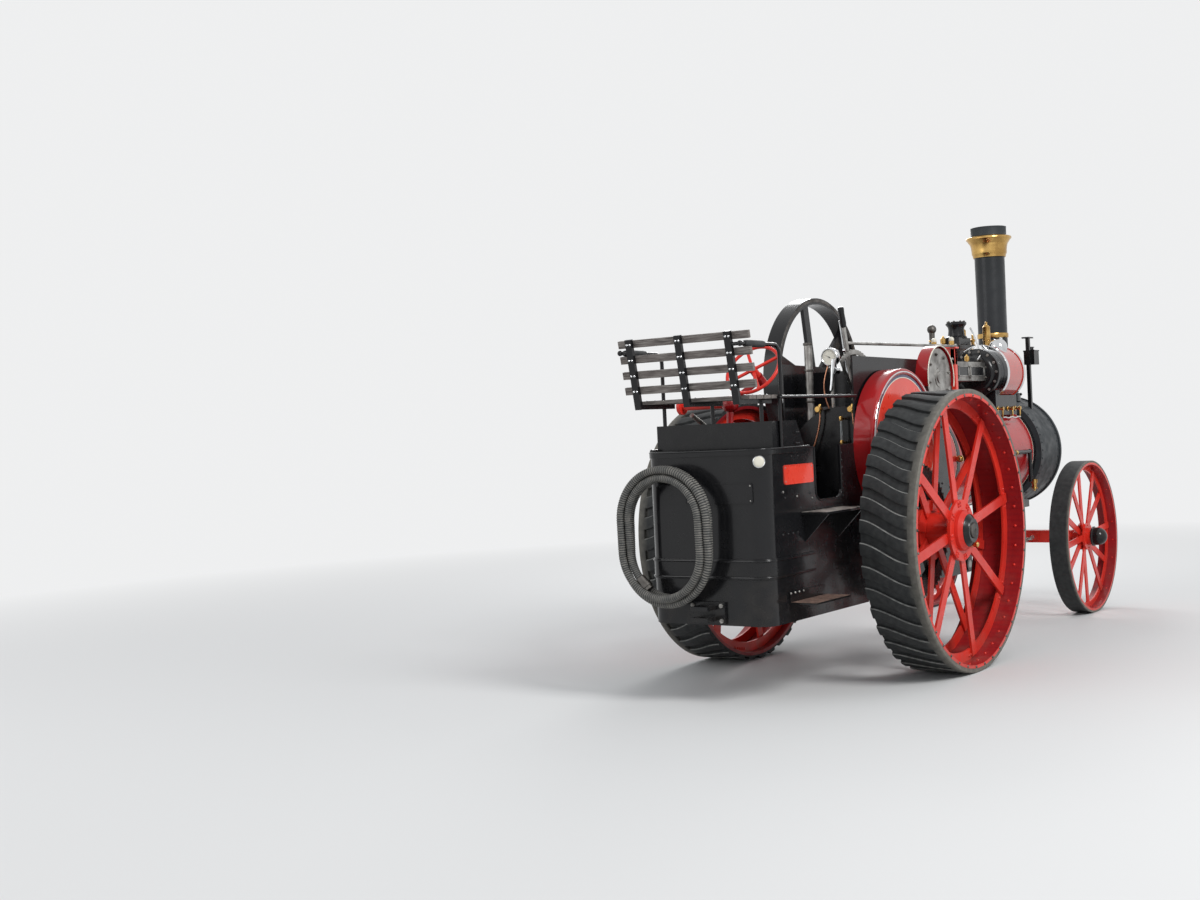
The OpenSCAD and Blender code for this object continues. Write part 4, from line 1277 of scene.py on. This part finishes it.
def make_cylinder_pipes():
    drain = [at(CYL_X0 + 0.09 + 0.37 * k / 12, -0.372, 1.628 + 0.004 * math.sin(k * 1.3)) for k in range(13)]
    steam = ((0.17, -0.1, 2.36), (0.13, -0.13, 2.33), (0.09, -0.17, 2.27), (0.05, -0.21, 2.2),
             (0.02, -0.24, 2.16), (-0.03, -0.26, 2.13), (-0.09, -0.27, 2.11), (-0.13, -0.27, 2.09))
    feed = ((0.45, 0.0, 2.2), (0.5, 0.02, 2.25), (0.54, 0.03, 2.2), (0.56, 0.04, 2.0), (0.57, 0.05, 1.85),
            (0.58, 0.06, 1.75))

    def route(stops):
        return [at(CYL_X0 + x, y, z) for x, y, z in stops]

    pipes("steam_pipes", CHROME, (drain, 0.006), (route(steam), 0.0065), smooth=50)
    pipes("copper_pipe", COPPER, (route(feed), 0.009, 12), smooth=50)


def make_motion_trim():
    bm = bmesh.new()
    for y0, y1 in ((-0.304, -0.266), (-0.134, -0.096)):
        slab(bm, at(1.474, y0, 1.76), at(1.516, y1, 2.176), 0.003)
    slab(bm, at(1.474, -0.304, 2.043), at(1.516, -0.096, 2.176), 0.004)
    slab(bm, at(1.468, -0.316, 2.165), at(1.53, -0.084, 2.18), 0.004)
    make_piece("motion_pedestal", bm, BRIGHT_RED, 0)
    frames, shade_panels = bmesh.new(), bmesh.new()
    rim = 0.014
    for x0, x1 in ((1.57, 1.74), (1.8, 2.05)):
        # Thin black panels fill the openings of the slide bar guards: painted shade for the dark inside of
        # each guard.
        slab(shade_panels, at(x0, -0.2912, 1.966), at(x1, -0.289, 2.03), 0.0004)
        for left, right, z0, z1 in ((x0 - rim, x1 + rim, 1.956, 1.967), (x0 - rim, x1 + rim, 2.029, 2.04),
                                    (x0 - rim, x0, 1.956, 2.04), (x1, x1 + rim, 1.956, 2.04)):
            slab(frames, at(left, -0.2955, z0), at(right, -0.289, z1))
    make_piece("slide_window_shade", shade_panels, BLACK, 0)
    make_piece("slide_frames", frames, STEEL, 0)
    places = [(at(1.474, y, z), -FORWARD) for y in (-0.285, -0.115) for z in (1.84, 1.95, 2.09)]
    places += [(at(x, -0.29, z), -LEFT) for x in (1.545, 1.775, 2.09) for z in (1.95, 2.03)]
    bolts("motion_nuts", places, STEEL, 10.5)
    tops = [at(1.5, -0.27, 2.18), at(1.5, -0.13, 2.18)]
    cups = [oil_cup(place, 1.15) for place in tops + [at(1.7, -0.2, 2.07), at(1.95, -0.2, 2.07)]]
    lathe("oil_cups", BRASS, *cups)
    lid = [(45, 16.5), (52, 20), (68, 18), (76, 10), (78, 0)]
    lathe("oil_cup_lids", CREAM, *((place, UP, lid) for place in tops), sides=18)
    strap = [(-34, 34), (-34, 70), (-30, 74), (30, 74), (34, 70), (34, 34)]
    lathe("big_end", BRASS, (at(CRANK_AT[0] + 0.127, CYL_Y, CRANK_AT[2]), LEFT, strap), sides=36)


def make_governor_trim():
    x, y = GOVERNOR_AT
    foot = at(x, y, 1.7)
    collar = [(300, 22.5), (302, 41), (310, 43), (326, 43), (334, 40), (336, 22.5)]
    ball = [(-30, 0), (-28, 6), *arc(0, 0, 24.5, 24.5, 162, 18, 13), (28, 6), (30, 0)]
    forms = [(foot, UP, collar, 32)]
    forms += [(at(x, y + side * BALL_Y, 2.175), UP, ball) for _, side in BOTH]
    forms.append((foot, UP, [(550, 22.5), (552, 27), (562, 27), (564, 22.5)]))
    lathe("governor_brass", BRASS, *forms, sides=24, smooth=40)
    bm = bmesh.new()
    turned(bm, foot, UP, [(30, 61), (128, 61), (134, 57), (150, 42), (170, 30), (300, 23.5)], 32)
    turned(bm, foot, UP, [(336, 23.5), (470, 22.5), (480, 30), (490, 32), (500, 22.5)], 28)
    for _, side in BOTH:
        upper = [at(x, y, 2.262), at(x, y + side * 0.035, 2.228), at(x, y + side * 0.064, 2.18)]
        tube(bm, upper, [0.006, 0.0055, 0.005], 10)
        tube(bm, [at(x, y, 2.09), at(x, y + side * 0.064, 2.17)], 0.0045, 8)
    make_piece("governor_arms", bm, OILY)


make_cylinder_trim()
make_valve_chest_trim()
make_cylinder_pipes()
make_motion_trim()
make_governor_trim()

# Hornplates, feed pipe and hitch

PLATE_Y = 0.408
FEED_Y = -0.43


def make_plate_trim():
    grid = [(0.2 + 0.1 * i, 0.68 + 0.1 * k) for i in range(8) for k in range(6)]
    spots = [(x, z) for x, z in grid if math.hypot(x, z - REAR_Z) > 0.17]
    spots += [(1.035, 0.72 + 0.085 * i) for i in range(10)]
    spots += [(0.27 + 0.055 * i, 1.585) for i in range(13)]
    places = [(at(x, side * PLATE_Y, z), side * LEFT) for _, side in BOTH for x, z in spots]
    rivets("plate_rivets", places, BLACK, 9.5)
    drop = [(-20, 16.5), (-18, 26), (12, 26), (14, 19), (45, 19), (47, 24), (60, 24), (62, 10), (75, 9),
            (77, 0)]
    union = [(-20, 16.5), (-18, 25), (10, 25), (12, 18), (40, 18), (42, 0)]
    sleeve = [(-12, 16.5), (-10, 21), (10, 21), (12, 16.5)]
    forms = [(at(2.62, -0.45, 1.1), -UP, drop), (at(1.19, FEED_Y, BOILER_Z), -FORWARD, union)]
    forms += [(at(x, FEED_Y, BOILER_Z), FORWARD, sleeve, 18) for x in (1.45, 1.85, 2.3)]
    lathe("feed_pipe_unions", BRASS, *forms, sides=20)
    places = [(at(TENDER_X - 0.02, y, z), -FORWARD) for y in (-0.1, 0.1) for z in (0.51, 0.6)]
    bolts("hitch_nuts", places, STEEL, 14)


make_plate_trim()

# Floor and light

BACKDROP = (0.86, 0.865, 0.87)
FADE_FROM = 4.0
FADE_TO = 12.0
FLOOR_HALF = 400
LAMPS = (
    # name, place, target, size, power
    ("key", (-4.0, -8.0, 8.0), (0, 0, 1.2), 4.0, 760),
    ("fill", (-8.0, 5.0, 5.0), (0, 0, 1.2), 6.0, 120),
    ("rim", (7.0, 4.0, 6.0), (0, 0, 1.5), 4.0, 300),
)


def seen_directly(tree):
    """1 for what the camera, a mirror or glass shows, 0 for the light on the object."""
    path = add(tree, "ShaderNodeLightPath")
    total = path.outputs["Is Camera Ray"]
    for name in ("Is Glossy Ray", "Is Transmission Ray"):
        total = maths(tree, "ADD", total, path.outputs[name], use_clamp=True)
    return total


def blend(tree, factor, first, second, output):
    """Mixes two shaders into a tree's output."""
    node = add(tree, "ShaderNodeMixShader")
    for socket, value in zip(node.inputs, (factor, first, second)):
        tree.links.new(value, socket)
    tree.links.new(node.outputs["Shader"], tree.nodes[output].inputs["Surface"])


def make_floor():
    bm = bmesh.new()
    bmesh.ops.create_grid(bm, x_segments=1, y_segments=1, size=FLOOR_HALF)
    mesh = bpy.data.meshes.new("floor")
    bm.to_mesh(mesh)
    bm.free()
    floor = bpy.data.objects.new("floor", mesh)
    bpy.context.scene.collection.objects.link(floor)
    material, tree, shader = new_material("floor")
    shade(tree, shader, Base_Color=(0.66, 0.66, 0.655), Roughness=0.9)
    place = add(tree, "ShaderNodeTexCoord")
    way = add(tree, "ShaderNodeVectorMath", operation="LENGTH")
    tree.links.new(place.outputs["Object"], way.inputs[0])
    far = span(tree, way.outputs["Value"], FADE_FROM, FADE_TO)
    glow = add(tree, "ShaderNodeEmission")
    glow.inputs["Color"].default_value = (*BACKDROP, 1)
    factor = maths(tree, "MULTIPLY", far, seen_directly(tree))
    blend(tree, factor, shader.outputs["BSDF"], glow.outputs["Emission"], "Material Output")
    mesh.materials.append(material)


def make_world():
    world = bpy.data.worlds.new("world")
    world.use_nodes = True
    tree = world.node_tree
    light = tree.nodes["Background"]
    light.inputs["Color"].default_value = (0.93, 0.96, 1.0, 1)
    light.inputs["Strength"].default_value = 0.62
    shown = add(tree, "ShaderNodeBackground")
    shown.inputs["Color"].default_value = (*BACKDROP, 1)
    blend(tree, seen_directly(tree), light.outputs["Background"], shown.outputs["Background"], "World Output")
    bpy.context.scene.world = world


def make_lights():
    for name, place, target, size, power in LAMPS:
        data = bpy.data.lights.new(name, "AREA")
        data.shape = "DISK"
        data.size = size
        data.energy = power
        lamp = bpy.data.objects.new(name, data)
        lamp.location = place
        lamp.rotation_euler = (Vector(target) - Vector(place)).to_track_quat("-Z", "Y").to_euler()
        bpy.context.scene.collection.objects.link(lamp)


make_floor()
make_world()
make_lights()

bpy.context.scene.view_settings.view_transform = "Standard"
